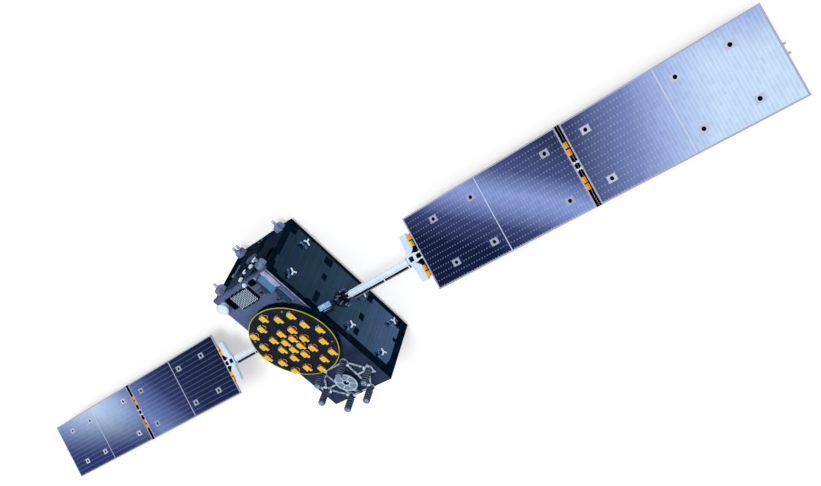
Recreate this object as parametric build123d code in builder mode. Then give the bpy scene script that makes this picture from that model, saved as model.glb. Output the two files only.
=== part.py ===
from build123d import *
import os
from math import cos, radians, sin

# Navigation satellite with two folding solar wings, standing on its four separation fittings.
# The origin is on the floor under the middle of the body. +Z points from the zenith deck, on which it
# stands, to the nadir deck with the antennas. +X points to the thruster end, +Y to the left wing.
# Sizes are in millimetres and angles in degrees.

# ---- driving dimensions: body -----------------------------------------------------------------------
BUS_LENGTH = 2500.0
BUS_WIDTH = 1200.0
BUS_HEIGHT = 1100.0
WALL = 30.0
STAND_HEIGHT = 60.0
FIT = 0.3

# ---- driving dimensions: wings ----------------------------------------------------------------------
WING_TILT = 29.717  # rest angle of the cell faces, from straight up towards +X
ROOT_REACH = 165.0  # from the body's side to the yoke's fold axis
YOKE_LENGTH = 1400.0  # between the yoke's two fold axes
YOKE_HINGE_RISE = 35.0  # the inner panel's fold axis stands this far to the cell side
PANEL_HINGE_DROP = 20.0  # the outer panel's fold axis stands this far to the back side
PANEL_LENGTH = 2533.0
PANEL_WIDTH = 1076.0
PANEL_THICKNESS = 25.0
HINGE_GAP = 35.0  # from each fold axis to the panel edges beside it
ARM_WIDTH = 100.0
ARM_HEIGHT = 50.0

# ---- driving dimensions: antennas --------------------------------------------------------------------
DISC_RADIUS = 676.0
DISC_INSET = 1120.0  # from the front end to the disc's axis
DISC_TOP = 140.0
RESCUE_GAP = 47.0  # along X, from the disc to the rescue antenna's front helices
RESCUE_Y = -48.0
RESCUE_HALF_LENGTH = 458.0  # along Y, to the hexagon's two far corners
RESCUE_RISE = 60.0
HELIX_RADIUS = 52.0
HELIX_LENGTH = 328.0
NODE_WALL = 8.0  # round each helix

# ---- worked out from them ------------------------------------------------------------------------------
AXIS_Z = STAND_HEIGHT + BUS_HEIGHT / 2
DECK_Z = STAND_HEIGHT + BUS_HEIGHT
END_X = BUS_LENGTH / 2
SIDE_Y = BUS_WIDTH / 2
HALF_HEIGHT = BUS_HEIGHT / 2
DISC_X = END_X - DISC_INSET
NODE_RADIUS = HELIX_RADIUS + NODE_WALL
RESCUE_FRONT = DISC_X - DISC_RADIUS - RESCUE_GAP
RESCUE_REAR = NODE_RADIUS - END_X
RESCUE_X = (RESCUE_FRONT + RESCUE_REAR) / 2
RESCUE_HALF_WIDTH = (RESCUE_FRONT - RESCUE_REAR) / 2
ROOT_HINGE = SIDE_Y + ROOT_REACH
YOKE_HINGE = ROOT_HINGE + YOKE_LENGTH
INNER_START = YOKE_HINGE + HINGE_GAP
INNER_END = INNER_START + PANEL_LENGTH
PANEL_HINGE = INNER_END + HINGE_GAP
OUTER_START = PANEL_HINGE + HINGE_GAP
OUTER_END = OUTER_START + PANEL_LENGTH

SIDES = ((1, "left"), (-1, "right"))

os.makedirs("parts", exist_ok=True)


def deck_plane(height=0.0):
    """Plane above the nadir deck, with local x and y along the body's."""
    return Plane.XY.offset(DECK_Z + height)


def side_plane(side, height=0.0):
    """Plane on a body side, with local y up and local x towards side * -X."""
    return Plane(origin=(0, side * (SIDE_Y + height), AXIS_Z), x_dir=(-side, 0, 0), z_dir=(0, side, 0))


def end_plane(end, height=0.0):
    """Plane on a body end, with local y up and local x towards end * Y."""
    return Plane(origin=(end * (END_X + height), 0, AXIS_Z), x_dir=(0, end, 0), z_dir=(end, 0, 0))


def wing_plane(side, height=0.0):
    """Plane along a wing, with local x outwards and the cells' normal as its own."""
    normal = Vector(sin(radians(WING_TILT)), 0, cos(radians(WING_TILT)))
    return Plane(origin=normal * height + Vector(0, 0, AXIS_Z), x_dir=(0, side, 0), z_dir=normal)


def across_plane(x=0.0):
    """Plane across the body, with local x along +Y and local y up from the nadir deck."""
    return Plane(origin=(x, 0, DECK_Z), x_dir=(0, 1, 0), z_dir=(1, 0, 0))


def along_plane(y=0.0):
    """Plane along the body, with local x along +X and local y up from the nadir deck; its normal is -Y."""
    return Plane(origin=(0, y, DECK_Z), x_dir=(1, 0, 0), z_dir=(0, -1, 0))


def spoke_plane(base, x, y, angle, thickness):
    """Plane for a fin of that thickness that stands on a base plane, along a spoke from the point x, y.

    Local x runs out along the spoke and local y stands up from the base; extruding by the thickness
    leaves the fin centred on the spoke.
    """
    spoke = base.x_dir * cos(radians(angle)) + base.y_dir * sin(radians(angle))
    sideways = spoke.cross(base.z_dir)
    origin = base.origin + base.x_dir * x + base.y_dir * y - sideways * (thickness / 2)
    return Plane(origin=origin, x_dir=spoke, z_dir=sideways)


def section_plane(side, across=0.0):
    """Plane across the fold axes, with local x outwards and local y along the cells' normal."""
    along = Vector(-cos(radians(WING_TILT)), 0, sin(radians(WING_TILT)))
    return Plane(origin=along * across + Vector(0, 0, AXIS_Z), x_dir=(0, side, 0), z_dir=along * -side)


# ======================================== body panels ===================================================
with BuildPart() as nadir_deck:
    with BuildSketch(deck_plane(-WALL)):
        Rectangle(BUS_LENGTH, BUS_WIDTH)
    extrude(amount=WALL)
nadir_deck.part.label = "nadir_deck"
export_step(nadir_deck.part, "parts/nadir_deck.step")

with BuildPart() as zenith_deck:
    with BuildSketch(Plane.XY.offset(STAND_HEIGHT)):
        Rectangle(BUS_LENGTH, BUS_WIDTH)
    extrude(amount=WALL)
zenith_deck.part.label = "zenith_deck"
export_step(zenith_deck.part, "parts/zenith_deck.step")

for side, word in SIDES:
    with BuildPart() as side_panel:
        with BuildSketch(side_plane(side, -WALL)):
            Rectangle(BUS_LENGTH, BUS_HEIGHT - 2 * WALL)
        extrude(amount=WALL)
    side_panel.part.label = f"side_panel_{word}"
    export_step(side_panel.part, f"parts/side_panel_{word}.step")

for end, word in ((1, "front"), (-1, "rear")):
    with BuildPart() as end_panel:
        with BuildSketch(end_plane(end, -WALL)):
            Rectangle(BUS_WIDTH - 2 * WALL, BUS_HEIGHT - 2 * WALL)
        extrude(amount=WALL)
    end_panel.part.label = f"end_panel_{word}"
    export_step(end_panel.part, f"parts/end_panel_{word}.step")

# ======================================== radiators =====================================================
RADIATOR_THICKNESS = 4.0
# The mirror foil's edge steps round what is under it.
# Columns: front or rear end, inset from that end, nadir or zenith deck, inset from that deck.
RADIATOR_STEPS = (
    (1, 170, -1, 70),
    (1, 170, -1, 220),
    (1, 80, -1, 220),
    (1, 80, 1, 360),
    (1, 50, 1, 360),
    (1, 50, 1, 230),
    (1, 80, 1, 230),
    (1, 80, 1, 120),
    (1, 165, 1, 120),
    (1, 165, 1, 70),
    (1, 390, 1, 70),
    (1, 390, 1, 80),
    (1, 730, 1, 80),
    (1, 730, 1, 110),
    (-1, 920, 1, 110),
    (-1, 920, 1, 130),
    (-1, 350, 1, 130),
    (-1, 350, 1, 150),
    (-1, 150, 1, 150),
    (-1, 150, 1, 220),
    (-1, 130, 1, 220),
    (-1, 130, -1, 490),
    (-1, 190, -1, 490),
    (-1, 190, -1, 420),
    (-1, 130, -1, 420),
    (-1, 130, -1, 210),
    (-1, 240, -1, 210),
    (-1, 240, -1, 150),
    (-1, 205, -1, 150),
    (-1, 205, -1, 90),
    (-1, 750, -1, 90),
    (-1, 750, -1, 210),
    (-1, 850, -1, 210),
    (-1, 850, -1, 70),
    (1, 620, -1, 70),
    (1, 620, -1, 50),
    (1, 500, -1, 50),
    (1, 500, -1, 70),
)
# Bare spots in the foil: the same four columns for the middle, then the size along and up the body.
RADIATOR_WINDOWS = (
    (1, 820, -1, 160, 150, 136),
    (1, 850, -1, 458, 86, 115),
    (1, 858, 1, 237, 88, 206),
    (-1, 832, 1, 546, 92, 120),
    (-1, 835, 1, 250, 91, 122),
)
for side, word in SIDES:
    outline = [(-side * end * (END_X - inset), deck * (HALF_HEIGHT - drop))
               for end, inset, deck, drop in RADIATOR_STEPS]
    with BuildPart() as radiator:
        with BuildSketch(side_plane(side)):
            with BuildLine():
                Polyline(outline, close=True)
            make_face()
            for end, inset, deck, drop, length, height in RADIATOR_WINDOWS:
                with Locations((-side * end * (END_X - inset), deck * (HALF_HEIGHT - drop))):
                    Rectangle(length, height, mode=Mode.SUBTRACT)
        extrude(amount=RADIATOR_THICKNESS)
    radiator.part.label = f"radiator_{word}"
    export_step(radiator.part, f"parts/radiator_{word}.step")

# ======================================== separation fittings ===========================================
FITTING_INSET_X = 250.0
FITTING_INSET_Y = 150.0
FITTING_SPACING_X = BUS_LENGTH - 2 * FITTING_INSET_X
FITTING_SPACING_Y = BUS_WIDTH - 2 * FITTING_INSET_Y
FITTING_FOOT_RADIUS = 45.0
FITTING_TOP_RADIUS = 62.0
FITTING_HOLE_RADIUS = 6.5
FITTING_HOLE_DEPTH = 35.0
with BuildPart() as separation_fittings:
    with GridLocations(FITTING_SPACING_X, FITTING_SPACING_Y, 2, 2):
        Cone(
            FITTING_FOOT_RADIUS,
            FITTING_TOP_RADIUS,
            STAND_HEIGHT,
            align=(Align.CENTER, Align.CENTER, Align.MIN),
        )
    with BuildSketch(Plane.XY):
        with GridLocations(FITTING_SPACING_X, FITTING_SPACING_Y, 2, 2):
            Circle(FITTING_HOLE_RADIUS)
    extrude(amount=FITTING_HOLE_DEPTH, mode=Mode.SUBTRACT)
separation_fittings.part.label = "separation_fittings"
export_step(separation_fittings.part, "parts/separation_fittings.step")

# ======================================== navigation antenna ============================================
DRUM_INSET = 26.0
RIM_WIDTH = 12.0
RIM_HEIGHT = 34.0
RIM_LIP = 4.0
FACE_THICKNESS = 25.0
FACE_BASE = DISC_TOP - RIM_LIP - FACE_THICKNESS
FACE_TOP = DISC_TOP - RIM_LIP
with BuildPart() as antenna_drum:
    with BuildSketch(deck_plane()):
        with Locations((DISC_X, 0)):
            Circle(DISC_RADIUS - DRUM_INSET)
    extrude(amount=FACE_BASE)
antenna_drum.part.label = "antenna_drum"
export_step(antenna_drum.part, "parts/antenna_drum.step")

with BuildPart() as antenna_face:
    with BuildSketch(deck_plane(FACE_BASE)):
        with Locations((DISC_X, 0)):
            Circle(DISC_RADIUS - RIM_WIDTH)
    extrude(amount=FACE_THICKNESS)
antenna_face.part.label = "antenna_face"
export_step(antenna_face.part, "parts/antenna_face.step")

with BuildPart() as antenna_rim:
    with BuildSketch(deck_plane(DISC_TOP - RIM_HEIGHT)):
        with Locations((DISC_X, 0)):
            Circle(DISC_RADIUS)
            Circle(DISC_RADIUS - RIM_WIDTH, mode=Mode.SUBTRACT)
    extrude(amount=RIM_HEIGHT)
antenna_rim.part.label = "antenna_rim"
export_step(antenna_rim.part, "parts/antenna_rim.step")

# Each element is an eight-sided cup under a square patch with a feed tab at one corner.
CUP_RADIUS = 46.0
CUP_HEIGHT = 40.0
CUP_SIDES = 8
PATCH_SIDE = 94.0
PATCH_CORNER = 9.0
PATCH_THICKNESS = 13.0
TAB_LENGTH = 32.0
TAB_WIDTH = 42.0
# rings of elements: ring radius and angle of the first; their counts stand apart
CUP_RINGS = ((578, 0.0), (488, 22.5), (290, 45.0), (236, 0.0), (112, 45.0))
CUP_COUNTS = (8, 8, 4, 4, 4)
cup_places = []
for (ring_radius, first_angle), count in zip(CUP_RINGS, CUP_COUNTS):
    for k in range(count):
        angle = radians(first_angle + 360 * k / count)
        cup_places.append((DISC_X + ring_radius * cos(angle), ring_radius * sin(angle)))
tab_places = [(x - (PATCH_SIDE + TAB_LENGTH) / 2, y - (PATCH_SIDE - TAB_WIDTH) / 2) for x, y in cup_places]

with BuildPart() as antenna_cups:
    with BuildSketch(deck_plane(FACE_TOP)):
        with Locations(*cup_places):
            RegularPolygon(CUP_RADIUS, CUP_SIDES, rotation=180 / CUP_SIDES)
    extrude(amount=CUP_HEIGHT)
    with BuildSketch(deck_plane(FACE_TOP + CUP_HEIGHT)) as patches:
        with Locations(*cup_places):
            Rectangle(PATCH_SIDE, PATCH_SIDE)
        chamfer(patches.vertices(), length=PATCH_CORNER)
        with Locations(*tab_places):
            Rectangle(TAB_LENGTH, TAB_WIDTH)
    extrude(amount=PATCH_THICKNESS)
antenna_cups.part.label = "antenna_cups"
export_step(antenna_cups.part, "parts/antenna_cups.step")

# ======================================== rescue antenna ================================================
STRUT_WIDTH = 22.0
STRUT_HEIGHT = 16.0
COLLAR_REACH = 122.0
COLLAR_CORNER = 16.0
COLLAR_THICKNESS = 10.0
# the hexagon's corners in turn, as shares of its half width and half length
HEXAGON_SHARES = ((1, -0.5), (0, -1), (-1, -0.44), (-1, 0.44), (0, 1), (1, 0.5))


def middle(a, b):
    """Point half way between two points."""
    return ((a[0] + b[0]) / 2, (a[1] + b[1]) / 2)


corners = [(RESCUE_X + a * RESCUE_HALF_WIDTH, RESCUE_Y + b * RESCUE_HALF_LENGTH) for a, b in HEXAGON_SHARES]
chord_middles = (middle(corners[0], corners[2]), middle(corners[3], corners[5]))
struts = [(corners[k], corners[(k + 1) % 6]) for k in range(6)]
struts += [(corners[0], corners[2]), (corners[3], corners[5])]
struts += [(corners[1], chord_middles[0]), (corners[4], chord_middles[1])]

with BuildPart() as rescue_frame:
    with BuildSketch(deck_plane(RESCUE_RISE - STRUT_HEIGHT)):
        for start, finish in struts:
            with BuildLine():
                run = Line(start, finish)
            trace(run, line_width=STRUT_WIDTH)
        with Locations(*corners):
            Circle(NODE_RADIUS)
        with Locations(*corners):
            Circle(HELIX_RADIUS, mode=Mode.SUBTRACT)
    extrude(amount=STRUT_HEIGHT)
    # a three-cornered collar plate round each far corner, with one corner pointing inwards
    for place, inwards in ((corners[1], 90), (corners[4], -90)):
        with BuildSketch(deck_plane(RESCUE_RISE)) as collar:
            with Locations(place):
                RegularPolygon(COLLAR_REACH, 3, rotation=inwards)
            chamfer(collar.vertices(), length=COLLAR_CORNER)
            with Locations(place):
                Circle(HELIX_RADIUS, mode=Mode.SUBTRACT)
        extrude(amount=COLLAR_THICKNESS)
rescue_frame.part.label = "rescue_frame"
export_step(rescue_frame.part, "parts/rescue_frame.step")

# A helix is wound as a stack of ribs round a twelve-sided post, above a round foot that holds the frame.
POST_RADIUS = 39.0
POST_SIDES = 12
FOOT_RISE = 12.0
RIB_PITCH = 43.0
RIB_HEIGHT = 19.0
post_start = RESCUE_RISE + FOOT_RISE
rib_count = int((HELIX_LENGTH - post_start) / RIB_PITCH)
with BuildPart() as helix_posts:
    with BuildSketch(deck_plane()):
        with Locations(*corners):
            Circle(HELIX_RADIUS)
    extrude(amount=post_start)
    with BuildSketch(deck_plane(post_start)):
        with Locations(*corners):
            RegularPolygon(POST_RADIUS, POST_SIDES)
    extrude(amount=HELIX_LENGTH - post_start)
    for k in range(rib_count):
        with BuildSketch(deck_plane(HELIX_LENGTH - RIB_HEIGHT - k * RIB_PITCH)):
            with Locations(*corners):
                RegularPolygon(HELIX_RADIUS, POST_SIDES, rotation=180 / POST_SIDES * (k % 2))
        extrude(amount=RIB_HEIGHT)
helix_posts.part.label = "helix_posts"
export_step(helix_posts.part, "parts/helix_posts.step")

CAP_INSET = 6.0
CAP_HEIGHT = 14.0
CAP_TAPER = 20.0
with BuildPart() as helix_caps:
    with BuildSketch(deck_plane(HELIX_LENGTH)):
        with Locations(*corners):
            RegularPolygon(HELIX_RADIUS - CAP_INSET, POST_SIDES)
    extrude(amount=CAP_HEIGHT, taper=CAP_TAPER)
helix_caps.part.label = "helix_caps"
export_step(helix_caps.part, "parts/helix_caps.step")

PLATE_RADIUS = 175.0
PLATE_THICKNESS = 12.0
PLATE_RISE = 115.0
PLATE_HUB_RADIUS = 63.0
PLATE_BORE = 45.0
PLATE_RIM = 20.0
SPOKE_COUNT = 6
SPOKE_WIDTH = 16.0
WINDOW_DEPTH = 7.0
BEAM_WIDTH = 46.0
BEAM_HEIGHT = 16.0
rim_inner = PLATE_RADIUS - PLATE_RIM
with BuildPart() as rescue_plate:
    with BuildSketch(deck_plane(PLATE_RISE)):
        with Locations((RESCUE_X, RESCUE_Y)):
            Circle(PLATE_RADIUS)
            Circle(PLATE_BORE, mode=Mode.SUBTRACT)
    extrude(amount=PLATE_THICKNESS)
    with BuildSketch(deck_plane(PLATE_RISE + PLATE_THICKNESS)):
        with Locations((RESCUE_X, RESCUE_Y)):
            Circle(rim_inner)
            Circle(PLATE_HUB_RADIUS, mode=Mode.SUBTRACT)
        with Locations((RESCUE_X, RESCUE_Y)):
            with PolarLocations(rim_inner / 2 + PLATE_HUB_RADIUS / 2, SPOKE_COUNT):
                Rectangle(rim_inner, SPOKE_WIDTH, mode=Mode.SUBTRACT)
    extrude(amount=-WINDOW_DEPTH, mode=Mode.SUBTRACT)
    with BuildSketch(deck_plane()):
        with Locations((RESCUE_X, RESCUE_Y)):
            Circle(PLATE_HUB_RADIUS)
            Circle(PLATE_BORE, mode=Mode.SUBTRACT)
    extrude(amount=PLATE_RISE)
    beam_root = RESCUE_X - PLATE_RADIUS + PLATE_RIM
    beam_tip = RESCUE_X - RESCUE_HALF_WIDTH - STRUT_WIDTH / 2
    with BuildSketch(along_plane(RESCUE_Y + BEAM_WIDTH / 2)):
        Polygon(
            (beam_root, PLATE_RISE),
            (beam_root, PLATE_RISE + PLATE_THICKNESS),
            (beam_root - PLATE_RIM, PLATE_RISE + PLATE_THICKNESS),
            (beam_tip, RESCUE_RISE + BEAM_HEIGHT),
            (beam_tip, RESCUE_RISE),
            (beam_tip + STRUT_WIDTH, RESCUE_RISE),
            align=None,
        )
    extrude(amount=BEAM_WIDTH)
rescue_plate.part.label = "rescue_plate"
export_step(rescue_plate.part, "parts/rescue_plate.step")

# ======================================== nadir deck units ==============================================
ARRAY_INSET = 188.0
ARRAY_SIDE_INSET = 518.0
PRISM_PITCH = 34.0
PRISM_SIDE = 27.0
PRISM_HEIGHT = 8.0
PRISM_ROWS = 7
PRISM_COLUMNS = 11
ARRAY_HEIGHT = 37.0
ARRAY_MARGIN = 2.0
array_place = (END_X - ARRAY_INSET, SIDE_Y - ARRAY_SIDE_INSET)
with BuildPart() as reflector_array:
    with BuildSketch(deck_plane()):
        with Locations(array_place):
            Rectangle(PRISM_ROWS * PRISM_PITCH + ARRAY_MARGIN, PRISM_COLUMNS * PRISM_PITCH + ARRAY_MARGIN)
    extrude(amount=ARRAY_HEIGHT)
    with BuildSketch(deck_plane(ARRAY_HEIGHT)):
        with Locations(array_place):
            with GridLocations(PRISM_PITCH, PRISM_PITCH, PRISM_ROWS, PRISM_COLUMNS):
                Rectangle(PRISM_SIDE, PRISM_SIDE)
    extrude(amount=PRISM_HEIGHT)
reflector_array.part.label = "reflector_array"
export_step(reflector_array.part, "parts/reflector_array.step")

# Each earth sensor looks out through a sloped face. Columns: name, inset of its middle from the front
# end, inset from the right side, length, depth, height at the back, height at the foot of the slope.
EARTH_SENSORS = (
    ("earth_sensor_front", 180, 195, 270, 110, 70, 14),
    ("earth_sensor_rear", 467, 118, 265, 85, 60, 14),
)
SENSOR_BROW = 46.0
for label, inset, side_inset, length, depth, back, foot in EARTH_SENSORS:
    with BuildPart() as earth_sensor:
        near = side_inset - SIDE_Y - depth / 2
        with BuildSketch(across_plane(END_X - inset - length / 2)):
            Polygon(
                (near, 0),
                (near + depth, 0),
                (near + depth, back),
                (near + depth - SENSOR_BROW, back),
                (near, foot),
                align=None,
            )
        extrude(amount=length)
    earth_sensor.part.label = label
    export_step(earth_sensor.part, f"parts/{label}.step")

# Columns: inset from the front end, inset from the right side, radius, height, depth of its bore.
LENS_BARRELS = ((232, 315, 48, 90, 40), (453, 222, 40, 75, 30), (34, 513, 22, 34, 8))
LENS_WALL = 14.0
COLLAR_WIDTH = 9.0
COLLAR_HEIGHT = 12.0
with BuildPart() as lens_barrels:
    for inset, side_inset, radius, height, bore in LENS_BARRELS:
        place = (END_X - inset, side_inset - SIDE_Y)
        with BuildSketch(deck_plane()):
            with Locations(place):
                Circle(radius + COLLAR_WIDTH)
        extrude(amount=COLLAR_HEIGHT)
        with BuildSketch(deck_plane()):
            with Locations(place):
                Circle(radius)
        extrude(amount=height)
        with BuildSketch(deck_plane(height)):
            with Locations(place):
                Circle(radius - LENS_WALL)
        extrude(amount=-bore, mode=Mode.SUBTRACT)
lens_barrels.part.label = "lens_barrels"
export_step(lens_barrels.part, "parts/lens_barrels.step")

# Columns: inset from the front end, inset from a side, which side, length, width, height.
EQUIPMENT_BOXES = ((55, 350, -1, 80, 110, 50), (165, 255, 1, 200, 110, 40))
BOX_CHAMFER = 7.0
with BuildPart() as equipment_boxes:
    for inset, side_inset, side, length, width, height in EQUIPMENT_BOXES:
        with BuildSketch(deck_plane()):
            with Locations((END_X - inset, side * (SIDE_Y - side_inset))):
                Rectangle(length, width)
        extrude(amount=height)
    box_tops = equipment_boxes.faces().filter_by(lambda face: face.normal_at().Z > 0)
    chamfer(box_tops.edges(), length=BOX_CHAMFER)
equipment_boxes.part.label = "equipment_boxes"
export_step(equipment_boxes.part, "parts/equipment_boxes.step")

COMMAND_INSET_X = 137.0
COMMAND_INSET_Y = 100.0
COMMAND_BASE_RADIUS = 62.0
COMMAND_BASE_HEIGHT = 12.0
COMMAND_STEM_RADIUS = 34.0
COMMAND_STEM_HEIGHT = 78.0
COMMAND_DISH_RADIUS = 95.0
COMMAND_DISH_HEIGHT = 22.0
COMMAND_DISH_EDGE = 8.0
with BuildPart() as command_antenna:
    with BuildSketch(Plane(origin=(END_X - COMMAND_INSET_X, SIDE_Y - COMMAND_INSET_Y, DECK_Z),
                           x_dir=(1, 0, 0), z_dir=(0, -1, 0))):
        Polygon(
            (0, 0),
            (COMMAND_BASE_RADIUS, 0),
            (COMMAND_BASE_RADIUS, COMMAND_BASE_HEIGHT),
            (COMMAND_STEM_RADIUS, COMMAND_BASE_HEIGHT),
            (COMMAND_STEM_RADIUS, COMMAND_STEM_HEIGHT),
            (COMMAND_DISH_RADIUS, COMMAND_STEM_HEIGHT + COMMAND_DISH_EDGE),
            (COMMAND_DISH_RADIUS, COMMAND_STEM_HEIGHT + COMMAND_DISH_HEIGHT - COMMAND_DISH_EDGE),
            (COMMAND_DISH_RADIUS - COMMAND_DISH_EDGE, COMMAND_STEM_HEIGHT + COMMAND_DISH_HEIGHT),
            (0, COMMAND_STEM_HEIGHT + COMMAND_DISH_HEIGHT),
            align=None,
        )
    revolve(axis=Axis((END_X - COMMAND_INSET_X, SIDE_Y - COMMAND_INSET_Y, 0), (0, 0, 1)))
command_antenna.part.label = "command_antenna"
export_step(command_antenna.part, "parts/command_antenna.step")

# ======================================== thrusters =====================================================
POD_DEPTH = 100.0
POD_WIDTH = 136.0
POD_HEIGHT = 156.0
POD_CORNER = 38.0
POD_TAPER = 7.0
POD_EDGE = 14.0
NOZZLE_LENGTH = 78.0
NOZZLE_RADIUS = 22.0
NOZZLE_BORE = 14.0
# Columns: side, inset from it, zenith or nadir deck, inset from it, half distance between its nozzles.
PODS = ((-1, 158, -1, 148, 0), (1, 144, -1, 152, 42), (1, 140, 1, 136, 0), (-1, 132, 1, 132, 0))
pod_places = []
nozzle_places = []
for side, inset, deck, drop, spread in PODS:
    pod_y = side * (SIDE_Y - inset)
    pod_z = deck * (HALF_HEIGHT - drop)
    pod_places.append((pod_y, pod_z))
    nozzle_places += [(pod_y + across, pod_z) for across in sorted({-spread, spread})]
with BuildPart() as thruster_pods:
    with BuildSketch(end_plane(1)):
        with Locations(*pod_places):
            RectangleRounded(POD_WIDTH, POD_HEIGHT, POD_CORNER)
    extrude(amount=POD_DEPTH, taper=POD_TAPER)
    chamfer(thruster_pods.faces().group_by(Axis.X)[-1].edges(), length=POD_EDGE)
thruster_pods.part.label = "thruster_pods"
export_step(thruster_pods.part, "parts/thruster_pods.step")

with BuildPart() as thruster_nozzles:
    with BuildSketch(end_plane(1, POD_DEPTH)):
        with Locations(*nozzle_places):
            Circle(NOZZLE_RADIUS)
            Circle(NOZZLE_BORE, mode=Mode.SUBTRACT)
    extrude(amount=NOZZLE_LENGTH)
thruster_nozzles.part.label = "thruster_nozzles"
export_step(thruster_nozzles.part, "parts/thruster_nozzles.step")

# Columns: place across and up from the wing axis, size across and up, and how far it stands out.
END_UNITS = (
    (0, 0, 170, 110, 45),
    (0, 280, 40, 60, 40),
    (-5, 445, 40, 60, 40),
    (-110, 230, 50, 50, 40),
    (-95, 100, 46, 46, 34),
    (330, 40, 18, 220, 18),
    (330, 170, 46, 40, 34),
)
with BuildPart() as end_units:
    for y, z, width, height, depth in END_UNITS:
        with BuildSketch(end_plane(1)):
            with Locations((y, z)):
                Rectangle(width, height)
        extrude(amount=depth)
end_units.part.label = "end_units"
export_step(end_units.part, "parts/end_units.step")

# ======================================== hold-down brackets ============================================
# distances of the panels' hold-down points from the yoke hinge, and their place across the panel
HOLD_DOWN_OFFSETS = (475, 1125, 2305)
HOLD_DOWN_ACROSS = 322.0
BRACKET_HEIGHT = 80.0
BRACKET_BASE_RADIUS = 34.0
BRACKET_BASE_HEIGHT = 8.0
BRACKET_FOOT_REACH = 78.0
BRACKET_FOOT_WIDTH = 28.0
BRACKET_PIN_RADIUS = 11.0
HEAD_REACH = 60.0
HEAD_ARM = 20.0
HEAD_THICKNESS = 12.0
HEAD_ARMS = 3
FIN_THICKNESS = 9.0
FIN_REACH = 34.0


def star_outline(x, y, first_angle, reach, width):
    """Outline of square-ended arms round the point x, y, for a bracket's head or foot."""
    points = []
    inner = width / (2 * sin(radians(180 / HEAD_ARMS)))
    for arm in range(HEAD_ARMS):
        turn = radians(first_angle + 360 * arm / HEAD_ARMS)
        for offset in (-width / 2, width / 2):
            point_x = x + reach * cos(turn) - offset * sin(turn)
            points.append((point_x, y + reach * sin(turn) + offset * cos(turn)))
        between = turn + radians(180 / HEAD_ARMS)
        points.append((x + inner * cos(between), y + inner * sin(between)))
    return points


for side, word in SIDES:
    base = side_plane(side, RADIATOR_THICKNESS)
    with BuildPart() as brackets:
        for offset_x in HOLD_DOWN_OFFSETS:
            for across in (-HOLD_DOWN_ACROSS, HOLD_DOWN_ACROSS):
                x = side * (YOKE_LENGTH - offset_x)
                up = 90 if across > 0 else -90
                with BuildSketch(base):
                    with Locations((x, across)):
                        Circle(BRACKET_BASE_RADIUS)
                    foot_points = star_outline(x, across, up, BRACKET_FOOT_REACH, BRACKET_FOOT_WIDTH)
                    with BuildLine():
                        Polyline(foot_points, close=True)
                    make_face()
                extrude(amount=BRACKET_BASE_HEIGHT)
                with BuildSketch(base):
                    with Locations((x, across)):
                        Circle(BRACKET_PIN_RADIUS)
                extrude(amount=BRACKET_HEIGHT - HEAD_THICKNESS)
                with BuildSketch(side_plane(side, RADIATOR_THICKNESS + BRACKET_HEIGHT - HEAD_THICKNESS)):
                    with BuildLine():
                        Polyline(star_outline(x, across, up, HEAD_REACH, HEAD_ARM), close=True)
                    make_face()
                extrude(amount=HEAD_THICKNESS)
                for arm in range(HEAD_ARMS):
                    turn = up + 360 * arm / HEAD_ARMS
                    with BuildSketch(spoke_plane(base, x, across, turn, FIN_THICKNESS)):
                        Polygon(
                            (0, BRACKET_BASE_HEIGHT),
                            (FIN_REACH, BRACKET_BASE_HEIGHT),
                            (HEAD_ARM, (BRACKET_HEIGHT + BRACKET_BASE_HEIGHT) / 2),
                            (FIN_REACH, BRACKET_HEIGHT - HEAD_THICKNESS),
                            (0, BRACKET_HEIGHT - HEAD_THICKNESS),
                            align=None,
                        )
                    extrude(amount=FIN_THICKNESS)
    brackets.part.label = f"hold_down_brackets_{word}"
    export_step(brackets.part, f"parts/hold_down_brackets_{word}.step")

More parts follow.
